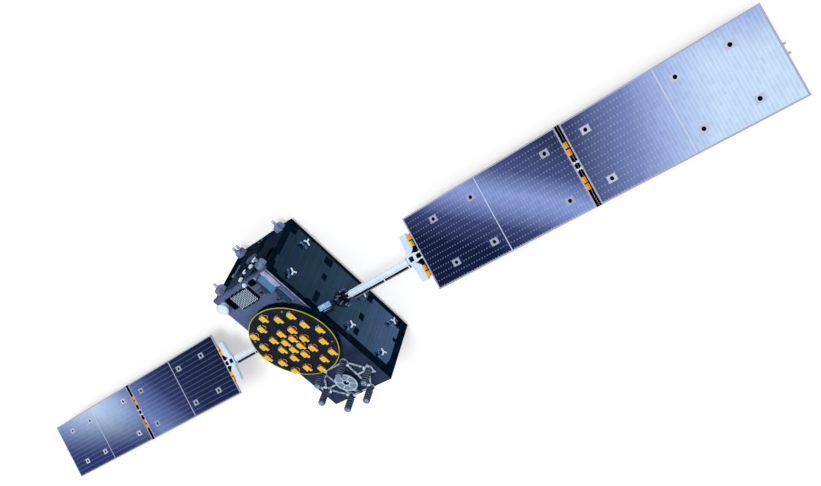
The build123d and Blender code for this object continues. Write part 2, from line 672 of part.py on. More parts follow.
# ======================================== wing drives ===================================================
DRIVE_FLANGE_RADIUS = 130.0
DRIVE_FLANGE_THICKNESS = 14.0
DRIVE_BODY_RADIUS = 85.0
DRIVE_BODY_HEIGHT = 80.0
DRIVE_RIBS = 6
DRIVE_RIB_THICKNESS = 10.0
DRIVE_RIB_MARGIN = 6.0
DRIVE_RIB_ROOT = 60.0
SHAFT_RADIUS = 40.0
SHAFT_DEPTH = 50.0
HUB_RADIUS = 58.0
HUB_THICKNESS = 30.0
EAR_RADIUS = 20.0
EAR_INNER = 26.0
EAR_OUTER = 40.0
PIN_RADIUS = 8.0
hub_start = RADIATOR_THICKNESS + DRIVE_BODY_HEIGHT + FIT
ear_root = SIDE_Y + hub_start + HUB_THICKNESS
for side, word in SIDES:
    drive_base = side_plane(side, RADIATOR_THICKNESS)
    with BuildPart() as drive_housing:
        with BuildSketch(drive_base):
            Circle(DRIVE_FLANGE_RADIUS)
        extrude(amount=DRIVE_FLANGE_THICKNESS)
        with BuildSketch(drive_base):
            Circle(DRIVE_BODY_RADIUS)
        extrude(amount=DRIVE_BODY_HEIGHT)
        for k in range(DRIVE_RIBS):
            turn = 360 * (k + 0.5) / DRIVE_RIBS
            with BuildSketch(spoke_plane(drive_base, 0, 0, turn, DRIVE_RIB_THICKNESS)):
                Polygon(
                    (DRIVE_RIB_ROOT, 0),
                    (DRIVE_FLANGE_RADIUS - DRIVE_RIB_MARGIN, 0),
                    (DRIVE_FLANGE_RADIUS - DRIVE_RIB_MARGIN, DRIVE_FLANGE_THICKNESS + DRIVE_RIB_MARGIN),
                    (DRIVE_BODY_RADIUS, DRIVE_BODY_HEIGHT - DRIVE_RIB_MARGIN),
                    (DRIVE_RIB_ROOT, DRIVE_BODY_HEIGHT - DRIVE_RIB_MARGIN),
                    align=None,
                )
            extrude(amount=DRIVE_RIB_THICKNESS)
        with BuildSketch(side_plane(side, RADIATOR_THICKNESS + DRIVE_BODY_HEIGHT)):
            Circle(SHAFT_RADIUS + FIT)
        extrude(amount=-(SHAFT_DEPTH + FIT), mode=Mode.SUBTRACT)
    drive_housing.part.label = f"drive_housing_{word}"
    export_step(drive_housing.part, f"parts/drive_housing_{word}.step")

    with BuildPart() as drive_hub:
        with BuildSketch(side_plane(side, hub_start)):
            Circle(SHAFT_RADIUS)
        extrude(amount=-SHAFT_DEPTH)
        with BuildSketch(side_plane(side, hub_start)):
            Circle(HUB_RADIUS)
        extrude(amount=HUB_THICKNESS)
        for across in (-EAR_OUTER, EAR_INNER):
            with BuildSketch(section_plane(side, across)):
                with BuildLine():
                    Polyline((ROOT_HINGE, EAR_RADIUS), (ear_root, EAR_RADIUS), (ear_root, -EAR_RADIUS),
                             (ROOT_HINGE, -EAR_RADIUS))
                    RadiusArc((ROOT_HINGE, -EAR_RADIUS), (ROOT_HINGE, EAR_RADIUS), -EAR_RADIUS)
                make_face()
            extrude(amount=-side * (EAR_OUTER - EAR_INNER))
        with BuildSketch(section_plane(side, -EAR_OUTER)):
            with Locations((ROOT_HINGE, 0)):
                Circle(PIN_RADIUS)
        extrude(amount=-side * 2 * EAR_OUTER)
    drive_hub.part.label = f"drive_hub_{word}"
    export_step(drive_hub.part, f"parts/drive_hub_{word}.step")

# ======================================== yokes =========================================================
TONGUE_CLEARANCE = 6.0
TONGUE_HALF = EAR_INNER - TONGUE_CLEARANCE
ARM_CORNER = 8.0
ROOT_CLEARANCE = 8.0
ARM_START = ROOT_HINGE + EAR_RADIUS + ROOT_CLEARANCE
# The crossbar, as distances short of the yoke hinge and half widths across the wing.
CROSSBAR_START = 205.0
CROSSBAR_EDGE = 30.0
CROSSBAR_HALF = 345.0
CROSSBAR_SHOULDER = (168.0, 88.0)
CROSSBAR_TIP = (146.0, 318.0)
NOTCH_FOOT = (94.0, 64.0)
NOTCH_TOP = 130.0
HUB_NOSE = (50.0, 68.0)
TIP_RADIUS = 20.0
EYE_POINTS = ((163, 21), (99, 31), (99, -31), (163, -21))
EYE_CORNER = 10.0
EYE_DEPTH = 38.0
STRIP_WIDTH = 40.0
STRIP_GAP = 5.0
STRIP_THICKNESS = 16.0
STRIP_END_GAP = 34.0
# distances of the harness clamps from the yoke hinge
CLAMP_OFFSETS = (708, 235)
CLAMP_LENGTH = 16.0


def short_of_hinge(points, sign=1):
    """Points given by their distance short of the yoke hinge, on one side of the wing's middle line."""
    return [(YOKE_HINGE - distance, sign * across) for distance, across in points]


notch_points = (
    (CROSSBAR_EDGE, CROSSBAR_HALF),
    (CROSSBAR_EDGE, NOTCH_TOP),
    NOTCH_FOOT,
    HUB_NOSE,
)
for side, word in SIDES:
    arm_end = YOKE_HINGE - CROSSBAR_START
    with BuildPart() as yoke_arm:
        with BuildSketch(section_plane(side, -ARM_WIDTH / 2)):
            with Locations(((ARM_START + arm_end) / 2, 0)):
                Rectangle(arm_end - ARM_START, ARM_HEIGHT)
        extrude(amount=-side * ARM_WIDTH)
        chamfer(yoke_arm.edges().filter_by(Axis.Y), length=ARM_CORNER)
        with BuildSketch(section_plane(side, -TONGUE_HALF)):
            with BuildLine():
                Polyline((ROOT_HINGE, EAR_RADIUS), (ARM_START, EAR_RADIUS), (ARM_START, -EAR_RADIUS),
                         (ROOT_HINGE, -EAR_RADIUS))
                RadiusArc((ROOT_HINGE, -EAR_RADIUS), (ROOT_HINGE, EAR_RADIUS), EAR_RADIUS)
            make_face()
            with Locations((ROOT_HINGE, 0)):
                Circle(PIN_RADIUS + FIT, mode=Mode.SUBTRACT)
        extrude(amount=-side * 2 * TONGUE_HALF)
    yoke_arm.part.label = f"yoke_arm_{word}"
    export_step(yoke_arm.part, f"parts/yoke_arm_{word}.step")

    tip_corner = (CROSSBAR_TIP[0], CROSSBAR_HALF)
    half = ((CROSSBAR_START, ARM_WIDTH / 2), CROSSBAR_SHOULDER, CROSSBAR_TIP, tip_corner) + notch_points
    upper = short_of_hinge(half)
    lower = short_of_hinge(half, -1)
    with BuildPart() as yoke_crossbar:
        with BuildSketch(wing_plane(side, -ARM_HEIGHT / 2)) as crossbar_outline:
            with BuildLine():
                Polyline(upper + lower[::-1], close=True)
            make_face()
            fillet(crossbar_outline.vertices().group_by(Axis.Y)[0], TIP_RADIUS)
            fillet(crossbar_outline.vertices().group_by(Axis.Y)[-1], TIP_RADIUS)
        extrude(amount=ARM_HEIGHT)
        with BuildSketch(wing_plane(side, ARM_HEIGHT / 2)):
            with BuildLine():
                FilletPolyline(*short_of_hinge(EYE_POINTS), radius=EYE_CORNER, close=True)
            make_face()
        extrude(amount=-EYE_DEPTH, mode=Mode.SUBTRACT)
    yoke_crossbar.part.label = f"yoke_crossbar_{word}"
    export_step(yoke_crossbar.part, f"parts/yoke_crossbar_{word}.step")

    strip_start = ARM_START + STRIP_END_GAP
    strip_middle = side * (ARM_WIDTH / 2 + STRIP_GAP + STRIP_WIDTH / 2)
    with BuildPart() as harness_strip:
        with BuildSketch(wing_plane(side, -STRIP_THICKNESS / 2)):
            with Locations(((strip_start + arm_end) / 2, strip_middle)):
                Rectangle(arm_end - strip_start, STRIP_WIDTH)
            for offset_u in CLAMP_OFFSETS:
                with Locations((YOKE_HINGE - offset_u, strip_middle - side * STRIP_GAP / 2)):
                    Rectangle(CLAMP_LENGTH, STRIP_WIDTH + STRIP_GAP)
        extrude(amount=STRIP_THICKNESS)
    harness_strip.part.label = f"harness_strip_{word}"
    export_step(harness_strip.part, f"parts/harness_strip_{word}.step")

# ======================================== fold hinges ===================================================
BARREL_RADIUS = 14.0
HINGE_PIN_RADIUS = 5.0
LEAF_GAP = 8.0
HINGE_STATION = 230.0
LEAF_WIDTH = 80.0
GAP_CLEARANCE = 3.0  # from each fold axis to the strips that close the gap
PAD_THICKNESS = 4.0
PAD_END_GAP = 2.0
MOVING_PAD_LENGTH = 12.0
YOKE_STRIP_HALF = 318.0
LUG_ROOT_HALF = 17.0
LUG_TIP_HALF = 6.0
HALF_PANEL = PANEL_THICKNESS / 2
leaf_middle = (LEAF_GAP + LEAF_WIDTH) / 2
pad_places = [station * HINGE_STATION + turn * leaf_middle for station in (-1, 1) for turn in (-1, 1)]


def leaf_outline(axis_x, axis_y, edge_x, half_height):
    """Side view of a hinge leaf, from its barrel on the fold axis to its foot on the edge that carries it."""
    return (
        (axis_x, axis_y + BARREL_RADIUS),
        (edge_x, half_height),
        (edge_x, -half_height),
        (axis_x, axis_y - BARREL_RADIUS),
    )


def strip_outline(axis_x, reach, edge):
    """Outline of a strip that fills a gap up to an edge; reach is 1 beyond the fold axis and -1 before it.

    The edge's points are given by their distance from the axis and their half width, from the outer end in.
    """
    upper = [(axis_x + reach * distance, across) for distance, across in edge]
    lower = [(x, -across) for x, across in upper]
    near = axis_x + reach * GAP_CLEARANCE
    return [(near, -edge[0][1])] + lower + upper[::-1] + [(near, edge[0][1])]


def lug_outline(axis_x, reach, root, across):
    """Outline of a lug that narrows from its root at an edge towards the fold axis."""
    far = axis_x + reach * root
    near = axis_x + reach * GAP_CLEARANCE
    return (
        (far, across - LUG_ROOT_HALF),
        (far, across + LUG_ROOT_HALF),
        (near, across + LUG_TIP_HALF),
        (near, across - LUG_TIP_HALF),
    )


# Columns: fold line, its axis along the wing and along the normal, the strips' low and high faces, the
# lugs' place across, the carrying edge's half height, the root of the lugs, and the edge's points.
FOLD_LINES = (
    ("yoke", YOKE_HINGE, YOKE_HINGE_RISE, -8.0, 8.0, 44.0, ARM_HEIGHT / 2, HUB_NOSE[0],
     ((CROSSBAR_EDGE, YOKE_STRIP_HALF),) + notch_points[1:]),
    ("panel", PANEL_HINGE, -PANEL_HINGE_DROP, 0.0, 10.0, 44.0, HALF_PANEL, HINGE_GAP,
     ((HINGE_GAP, PANEL_WIDTH / 2),)),
)
for side, word in SIDES:
    for line, axis_x, axis_y, low, high, lug_across, half_height, lug_root, edge in FOLD_LINES:
        moving_edge = ((HINGE_GAP, edge[0][1]),)
        fixed_pad = edge[0][0] - GAP_CLEARANCE - PAD_END_GAP
        # Columns: piece, direction from the axis, edge, its half height, root of the lugs, pad length.
        leaves = (
            ("fixed", -1, edge, half_height, lug_root, fixed_pad),
            ("moving", 1, moving_edge, HALF_PANEL, HINGE_GAP, MOVING_PAD_LENGTH),
        )
        for piece, reach, piece_edge, foot_half, root, pad_length in leaves:
            with BuildPart() as hinge:
                with BuildSketch(wing_plane(side, low)):
                    with BuildLine():
                        Polyline(strip_outline(axis_x, reach, piece_edge), close=True)
                    make_face()
                extrude(amount=high - low)
                for lug in (-lug_across, lug_across):
                    with BuildSketch(wing_plane(side, low)):
                        with BuildLine():
                            Polyline(lug_outline(axis_x, reach, root, lug), close=True)
                        make_face()
                    extrude(amount=high - low + PAD_THICKNESS)
                pad_middle = axis_x + reach * (GAP_CLEARANCE + pad_length / 2)
                with BuildSketch(wing_plane(side, high)):
                    with Locations(*[(pad_middle, across) for across in pad_places]):
                        Rectangle(pad_length, LEAF_WIDTH)
                extrude(amount=PAD_THICKNESS)
                for station in (-1, 1):
                    leaf_start = station * (HINGE_STATION + reach * leaf_middle) - LEAF_WIDTH / 2
                    edge_x = axis_x + reach * piece_edge[0][0]
                    with BuildSketch(section_plane(side, leaf_start)):
                        with BuildLine():
                            Polyline(leaf_outline(axis_x, axis_y, edge_x, foot_half), close=True)
                        make_face()
                        with Locations((axis_x, axis_y)):
                            Circle(BARREL_RADIUS)
                            if piece == "moving":
                                Circle(HINGE_PIN_RADIUS + FIT, mode=Mode.SUBTRACT)
                    extrude(amount=-side * LEAF_WIDTH)
                    if piece == "fixed":
                        with BuildSketch(section_plane(side, station * HINGE_STATION - LEAF_WIDTH)):
                            with Locations((axis_x, axis_y)):
                                Circle(HINGE_PIN_RADIUS)
                        extrude(amount=-side * 2 * LEAF_WIDTH)
            hinge.part.label = f"{line}_hinge_{piece}_{word}"
            export_step(hinge.part, f"parts/{line}_hinge_{piece}_{word}.step")

# ======================================== solar panels ==================================================
CLIP_LENGTH = 30.0
CLIP_WIDTH = 24.0
CLIP_ACROSS = 55.0
SEAT_LENGTH = 120.0
SEAT_WIDTH = 90.0
SEAT_PROUD = 2.0
SEAT_RADIUS = 26.0
SEAT_DEPTH = 12.0
# Columns: panel, where it starts, where its hold-down offsets count from, and which way.
PANELS = (
    ("inner", INNER_START, YOKE_HINGE, 1),
    ("outer", OUTER_START, 2 * PANEL_HINGE - YOKE_HINGE, -1),
)
for side, word in SIDES:
    for name, start, zero, sense in PANELS:
        seats = [(zero + sense * offset, across) for offset in HOLD_DOWN_OFFSETS
                 for across in (-HOLD_DOWN_ACROSS, HOLD_DOWN_ACROSS)]
        with BuildPart() as solar_panel:
            with BuildSketch(wing_plane(side, -HALF_PANEL)):
                with Locations((start + PANEL_LENGTH / 2, 0)):
                    Rectangle(PANEL_LENGTH, PANEL_WIDTH)
                if name == "outer":
                    for across in (-CLIP_ACROSS, CLIP_ACROSS):
                        with Locations((OUTER_END + CLIP_LENGTH / 2, across)):
                            Rectangle(CLIP_LENGTH, CLIP_WIDTH)
            extrude(amount=PANEL_THICKNESS)
            with BuildSketch(wing_plane(side, HALF_PANEL)):
                with Locations(*seats):
                    Rectangle(SEAT_LENGTH, SEAT_WIDTH)
            extrude(amount=SEAT_PROUD)
            with BuildSketch(wing_plane(side, HALF_PANEL + SEAT_PROUD)):
                with Locations(*seats):
                    Circle(SEAT_RADIUS)
            extrude(amount=-SEAT_DEPTH, mode=Mode.SUBTRACT)
        solar_panel.part.label = f"{name}_panel_{word}"
        export_step(solar_panel.part, f"parts/{name}_panel_{word}.step")
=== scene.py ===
import logging
import math
from collections.abc import Callable
from dataclasses import dataclass
from enum import Enum
from functools import reduce
from typing import ClassVar

import bmesh
import bpy
from mathutils import Matrix, Vector


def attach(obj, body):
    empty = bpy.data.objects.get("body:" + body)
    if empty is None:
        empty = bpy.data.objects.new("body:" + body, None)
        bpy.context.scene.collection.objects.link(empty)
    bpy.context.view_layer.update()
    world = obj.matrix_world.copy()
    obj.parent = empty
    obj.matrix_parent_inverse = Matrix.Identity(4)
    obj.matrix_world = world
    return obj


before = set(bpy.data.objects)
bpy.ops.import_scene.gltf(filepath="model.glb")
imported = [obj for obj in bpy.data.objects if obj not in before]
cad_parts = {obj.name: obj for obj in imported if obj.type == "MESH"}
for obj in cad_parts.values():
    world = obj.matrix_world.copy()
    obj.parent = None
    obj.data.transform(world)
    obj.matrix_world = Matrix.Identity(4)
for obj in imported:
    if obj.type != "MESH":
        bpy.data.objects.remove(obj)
log = logging.getLogger("satellite")

Socket = bpy.types.NodeSocket
Number = float | Socket
Point = tuple[float, float, float]
Color = tuple[int, int, int]
Stops = tuple[tuple[float, Color], ...]
Span = tuple[float, float]
Axes = tuple[Socket, Socket, Socket]
Test = Callable[[Vector, Vector], bool]

# Places and sizes of the frame, in metres.
AXIS_Z = 0.61
DECK_Z = 1.16
STAND = 0.06
HALF_LENGTH = 1.25
HALF_WIDTH = 0.60
RADIATOR_FACE = HALF_WIDTH + 0.004
DISC_X = 0.13
FACE_TOP = DECK_Z + 0.136
RESCUE_X = -0.8915
RESCUE_Y = -0.048
RESCUE_HALF = (0.2985, 0.458)
TILT = math.radians(29.717)
YOKE_HINGE = 2.165
PANEL_HINGE = 4.768
PANEL_LENGTH = 2.533
PANEL_WIDTH = 1.076
HALF_PANEL = 0.0125
INNER_START = 2.200
OUTER_START = 4.803

# Limits of zones: none, one past every small piece, and the front end.
ALL: Span = (-100.0, 100.0)
FAR = 2.0
FRONT: Span = (1.0, FAR)

# Turns that lay a cylinder along an axis.
ALONG_X: Point = (0.0, math.pi / 2, 0.0)
ALONG_Y: Point = (math.pi / 2, 0.0, 0.0)

# Share of a direction from which it counts as along an axis, and up to which as across it.
ALIGNED = 0.9
ACROSS = 0.1

# Smoothing angle of soft shapes, in degrees.
SOFT = 60.0


class Side(Enum):
    """The two sides of the body, by the sign of Y."""

    LEFT = 1
    RIGHT = -1

    @property
    def word(self) -> str:
        """The side's name in the frame's node names."""
        return self.name.lower()

    def span(self, near: float, far: float) -> Span:
        """Range of Y between two distances from the middle."""
        return (near, far) if self is Side.LEFT else (-far, -near)


class Place(Enum):
    """The two solar panels of a wing."""

    INNER = "inner"
    OUTER = "outer"


def tone(color: Color) -> Point:
    """Linear colour of an 8-bit display colour."""
    return tuple(c / 12.92 if c <= 0.04045 else ((c + 0.055) / 1.055) ** 2.4 for c in (part / 255 for part in color))


def looks(way: Point) -> Test:
    """Test of a face that looks in a direction."""
    return lambda middle, normal: normal.dot(Vector(way)) > ALIGNED


def runs(way: Point) -> Test:
    """Test of an edge that runs along an axis."""
    return lambda middle, along: abs(along.dot(Vector(way))) > ALIGNED


def shift(x: float, y: float, z: float) -> Matrix:
    """Matrix of a straight move."""
    return Matrix.Translation((x, y, z))


def spun(middle: Point, degrees: float, axis: str = "Z") -> Matrix:
    """Matrix of a turn about an axis through a point."""
    return shift(*middle) @ Matrix.Rotation(math.radians(degrees), 4, axis) @ shift(*[-c for c in middle])


UP, DOWN, AHEAD = looks((0, 0, 1)), looks((0, 0, -1)), looks((1, 0, 0))
UPRIGHT = runs((0, 0, 1))


class Graph:
    """Node tree of a material or a world, built by short calls."""

    def __init__(self, owner: bpy.types.Material | bpy.types.World) -> None:
        """Turns on a material's or world's nodes.

        Args:
            owner: The material or world.
        """
        owner.use_nodes = True
        self.tree = owner.node_tree
        self.shader = self.tree.nodes.get("Principled BSDF") or self.tree.nodes["Background"]

    def set(self, **values: object) -> None:
        """Sets or links sockets of the shader; an underscore stands for a blank in a socket's name."""
        for key, value in values.items():
            self.put(self.shader.inputs[key.replace("_", " ")], value)

    def put(self, socket: Socket, value: object) -> None:
        """Gives a socket a value, or links it to another node's output.

        Args:
            socket: The input socket.
            value: A number, an 8-bit colour, a linear colour with alpha, a point or an output socket.
        """
        if isinstance(value, Socket):
            self.tree.links.new(value, socket)
        elif socket.type == "RGBA" and len(value) == 3:
            socket.default_value = (*tone(value), 1.0)
        else:
            socket.default_value = value

    def node(self, kind: str, inputs: dict[object, object] | None = None, **settings: object) -> bpy.types.Node:
        """Adds a node.

        Args:
            kind: The node's type, without the leading ShaderNode.
            inputs: Values or links by the input's name or number.
            settings: The node's own settings.

        Returns:
            The new node.
        """
        made = self.tree.nodes.new("ShaderNode" + kind)
        for key, value in settings.items():
            setattr(made, key, value)
        for key, value in (inputs or {}).items():
            self.put(made.inputs[key], value)
        return made

    def math(self, operation: str, a: Number, b: Number = 0.0, c: Number = 0.0) -> Socket:
        """Result of a Math node."""
        return self.node("Math", {0: a, 1: b, 2: c}, operation=operation).outputs[0]

    def above(self, value: Number, limit: float) -> Socket:
        """Mask that is 1 where a value is over a limit."""
        return self.math("GREATER_THAN", value, limit)

    def under(self, value: Number, limit: float) -> Socket:
        """Mask that is 1 where a value is less than a limit."""
        return self.math("LESS_THAN", value, limit)

    def both(self, *values: Number) -> Socket:
        """Product of masks or numbers."""
        return reduce(lambda a, b: self.math("MULTIPLY", a, b), values)

    def either(self, *values: Number) -> Socket:
        """Largest of masks or numbers."""
        return reduce(lambda a, b: self.math("MAXIMUM", a, b), values)

    def band(self, value: Socket, low: float, high: float) -> Socket:
        """Mask that is 1 where a value lies between two limits."""
        return self.both(self.above(value, low), self.under(value, high))

    def lines(self, value: Socket, pitch: float, width: float, start: float = 0.0) -> Socket:
        """Mask of lines across a value.

        Args:
            value: The coordinate that the lines repeat along.
            pitch: Distance between lines.
            width: Width of each.
            start: Middle of one line.

        Returns:
            A mask that is 1 on the lines.
        """
        rest = self.math("FLOORED_MODULO", self.math("ADD", value, pitch / 2 - start), pitch)
        off = self.math("ABSOLUTE", self.math("SUBTRACT", rest, pitch / 2))
        return self.under(off, width / 2)

    def step(self, value: Socket, size: float) -> Socket:
        """Number of whole steps in a value."""
        return self.math("FLOOR", self.math("DIVIDE", value, size))

    def chance(self, column: Socket, row: Socket) -> Socket:
        """Random number of a tile, by its column and row."""
        tile = self.node("CombineXYZ", {0: column, 1: row}).outputs[0]
        return self.node("TexWhiteNoise", {0: tile}, noise_dimensions="3D").outputs[0]

    def place(self) -> Socket:
        """Object coordinates."""
        return self.node("TexCoord").outputs["Object"]

    def mapped(self, **moves: Point) -> Socket:
        """Object coordinates through a Mapping node with these inputs."""
        return self.node("Mapping", {"Vector": self.place(), **moves}).outputs[0]

    def wing_place(self) -> Socket:
        """Object coordinates turned into a wing: x across it, y along it and z off its cells."""
        back = (AXIS_Z * math.sin(TILT), 0.0, -AXIS_Z * math.cos(TILT))
        return self.mapped(Location=back, Rotation=(0.0, -TILT, 0.0))

    def axes(self, vector: Socket) -> Axes:
        """The three parts of a vector."""
        return tuple(self.node("SeparateXYZ", {0: vector}).outputs)

    def noise(self, vector: Socket, scale: float, detail: float = 3.0, rough: float = 0.5,
              distortion: float = 0.0) -> Socket:
        """Noise between 0 and 1 at a vector."""
        return self.node("TexNoise", {"Vector": vector, "Scale": scale, "Detail": detail, "Roughness": rough,
                                      "Distortion": distortion}).outputs[0]

    def span(self, value: Number, first: float, last: float, kind: str = "LINEAR") -> Socket:
        """A value's share of the way from the first limit to the last, kept within 0 to 1."""
        ends = {0: value, 1: first, 2: last, 3: 0.0, 4: 1.0}
        return self.node("MapRange", ends, interpolation_type=kind).outputs[0]

    def fade(self, value: Number, low: float, high: float) -> Socket:
        """Smooth step of a value from 0 at low to 1 at high; low may be the larger."""
        return self.span(value, low, high, "SMOOTHSTEP")

    def mix(self, factor: Number, below: Number, above: Number) -> Socket:
        """Mix of two numbers."""
        return self.node("Mix", {0: factor, 2: below, 3: above}).outputs[0]

    def blend(self, factor: Number, below: object, above: object, kind: str = "MIX") -> Socket:
        """Mix of two colours.

        Args:
            factor: 0 for the first, 1 for the second.
            below: First colour.
            above: Second colour.
            kind: How they are mixed.

        Returns:
            The output socket.
        """
        made = self.node("Mix", data_type="RGBA", blend_type=kind)
        for number, value in ((0, factor), (6, below), (7, above)):
            self.put(made.inputs[number], value)
        return made.outputs[2]

    def shaded(self, color: object, factor: Socket, low: float, high: float) -> Socket:
        """A colour multiplied by a number that goes from low to high with a factor."""
        return self.blend(1.0, color, self.mix(factor, low, high), "MULTIPLY")

    def follow(self, value: Socket, stops: Stops) -> Socket:
        """Colour that follows a value.

        Args:
            value: The value.
            stops: Values and their colours, in order, upwards or downwards.

        Returns:
            The colour's output socket.
        """
        first, last = stops[0][0], stops[-1][0]
        made = self.node("ValToRGB", {0: self.span(value, first, last)})
        elements = made.color_ramp.elements
        while len(elements) < len(stops):
            elements.new(0.5)
        for element, (at, color) in zip(elements, stops):
            element.position = (at - first) / (last - first)
            element.color = (*tone(color), 1.0)
        return made.outputs[0]

    def bump(self, height: Socket, distance: float) -> Socket:
        """Normal bent by a height in metres times the distance."""
        return self.node("Bump", {"Height": height, "Distance": distance, "Strength": 1.0}).outputs[0]


class Finish:
    """A finish that makes its material once."""

    name: str
    made: dict[str, bpy.types.Material] = {}

    def material(self) -> bpy.types.Material:
        """Builds the finish's material at its first use.

        Returns:
            The material.
        """
        if self.name not in Finish.made:
            Finish.made[self.name] = bpy.data.materials.new(self.name)
            self.paint(Graph(Finish.made[self.name]))
        return Finish.made[self.name]

    def paint(self, graph: Graph) -> None:
        """Fills the material's node tree."""
        raise NotImplementedError

    def dress(self, *nodes: str) -> None:
        """Puts the finish on nodes of the frame.

        Args:
            nodes: The nodes' names.
        """
        for node in nodes:
            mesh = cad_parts[node].data
            mesh.materials.clear()
            mesh.materials.append(self.material())


@dataclass(frozen=True)
class Zone:
    """A box of the frame or of a wing, or a ring round the drive axis, in which a finish takes another colour."""

    color: Color
    x: Span = ALL
    y: Span = ALL
    z: Span = ALL
    ring: Span = ALL

    def mask(self, graph: Graph, axes: Axes) -> Socket:
        """Mask of the box.

        Args:
            graph: The material's graph.
            axes: The three coordinates that the box is given in.

        Returns:
            A mask that is 1 inside the box.
        """
        spans = [(axis, span) for axis, span in zip(axes, (self.x, self.y, self.z)) if span != ALL]
        if self.ring != ALL:
            up = graph.math("SUBTRACT", axes[2], AXIS_Z)
            square = graph.math("MULTIPLY_ADD", axes[0], axes[0], graph.both(up, up))
            spans.append((graph.math("SQRT", square), self.ring))
        return graph.both(*[graph.band(axis, *span) for axis, span in spans])


@dataclass(frozen=True)
class Paint(Finish):
    """Paint or bare metal with soft mottling and a fine grain, and other colours in zones."""

    name: str
    color: Color
    shade: Color
    roughness: float = 0.5
    metallic: float = 0.0
    specular: float = 0.0
    scale: float = 9.0
    grain: float = 260.0
    depth: float = 0.0004
    zones: tuple[Zone, ...] = ()
    wing: Side | None = None

    def axes(self, graph: Graph) -> Axes:
        """Coordinates of the zones.

        Args:
            graph: The material's graph.

        Returns:
            The frame's coordinates, or half across, along and off a wing.
        """
        if self.wing is None:
            return graph.axes(graph.place())
        x, y, n = graph.axes(graph.wing_place())
        return graph.math("ABSOLUTE", x), graph.both(y, float(self.wing.value)), n

    def paint(self, graph: Graph) -> None:
        """Mottles the colour and the gloss.

        Args:
            graph: The material's graph.
        """
        where = graph.place()
        patches = graph.fade(graph.noise(where, self.scale, 4.0, 0.6), 0.35, 0.65)
        fine = graph.noise(where, self.grain, 2.0)
        body = graph.blend(patches, self.color, self.shade)
        axes = self.axes(graph)
        for zone in self.zones:
            inner = graph.blend(graph.both(patches, 0.12), zone.color, self.shade)
            body = graph.blend(zone.mask(graph, axes), body, inner)
        graph.set(
            Base_Color=body,
            Metallic=self.metallic,
            Specular_IOR_Level=self.specular,
            Roughness=graph.mix(fine, self.roughness - 0.06, self.roughness + 0.06),
            Normal=graph.bump(fine, self.depth),
        )


@dataclass(frozen=True)
class Blanket(Finish):
    """Insulation foil: creased, quilted in seams, with painted highlights on its crease ridges."""

    name: str
    color: Color
    shade: Color
    # Colour of the painted highlight on the crease ridges.
    ridge: Color
    zones: tuple[Zone, ...] = ()
    roughness: float = 0.5
    crease: float = 5.0
    stretch: Point = (1.0, 1.3, 0.8)
    depth: float = 0.006
    seam: float = 0.40
    seam_width: float = 0.006

    def paint(self, graph: Graph) -> None:
        """Creases in two sizes, seams and a colour that follows them.

        Args:
            graph: The material's graph.
        """
        where = graph.place()
        axes = graph.axes(where)
        folds = graph.node("TexVoronoi", {"Vector": graph.mapped(Scale=self.stretch), "Scale": self.crease},
                           feature="DISTANCE_TO_EDGE").outputs["Distance"]
        small = graph.noise(where, self.crease * 5, 5.0, 0.65, 0.8)
        sharp = graph.fade(folds, 0.0, 0.16)
        seams = graph.either(*[graph.lines(axis, self.seam, self.seam_width, self.seam / 2) for axis in axes])
        body = graph.blend(graph.fade(small, 0.3, 0.7), self.shade, self.color)
        for zone in self.zones:
            amount = graph.both(zone.mask(graph, axes), graph.mix(small, 0.75, 1.0))
            body = graph.blend(amount, body, zone.color)
        # Painted highlight: the foil turns pale along its crease ridges.
        ridge_highlight_mask = graph.both(graph.fade(sharp, 0.35, 0.0), graph.fade(small, 0.5, 0.7), 0.5)
        body = graph.blend(ridge_highlight_mask, body, self.ridge)
        graph.set(
            Base_Color=graph.blend(graph.both(seams, 0.35), body, self.shade),
            Specular_IOR_Level=0.0,
            Roughness=graph.mix(small, self.roughness - 0.1, self.roughness + 0.1),
            Normal=graph.bump(graph.math("ADD", sharp, graph.both(small, 0.7)), self.depth),
        )


@dataclass(frozen=True)
class DeckFoil(Finish):
    """Smooth satin foil of the nadir deck, darker towards the rear with painted shadow just behind the antenna drum,
    and black round its edge.
    """

    name: str
    stops: Stops
    edge: Color

    def paint(self, graph: Graph) -> None:
        """Fades the foil along the body, clouds it and sews it in squares.

        Args:
            graph: The material's graph.
        """
        where = graph.place()
        x, y, z = graph.axes(where)
        cloud = graph.noise(where, 3.5, 5.0, 0.6, 0.7)
        crumple = graph.noise(where, 26.0, 4.0, 0.6)
        body = graph.shaded(graph.follow(x, self.stops), cloud, 0.65, 1.35)
        body = graph.shaded(body, crumple, 0.85, 1.15)
        seams = graph.either(graph.lines(x, 0.417, 0.005, 0.2), graph.lines(y, 0.40, 0.005))
        body = graph.blend(graph.both(seams, 0.4), body, self.edge)
        graph.set(
            Base_Color=graph.blend(graph.under(z, DECK_Z - 0.002), body, self.edge),
            Specular_IOR_Level=0.0,
            Roughness=graph.mix(crumple, 0.4, 0.6),
            Normal=graph.bump(graph.math("ADD", cloud, graph.both(crumple, 0.2)), 0.006),
        )


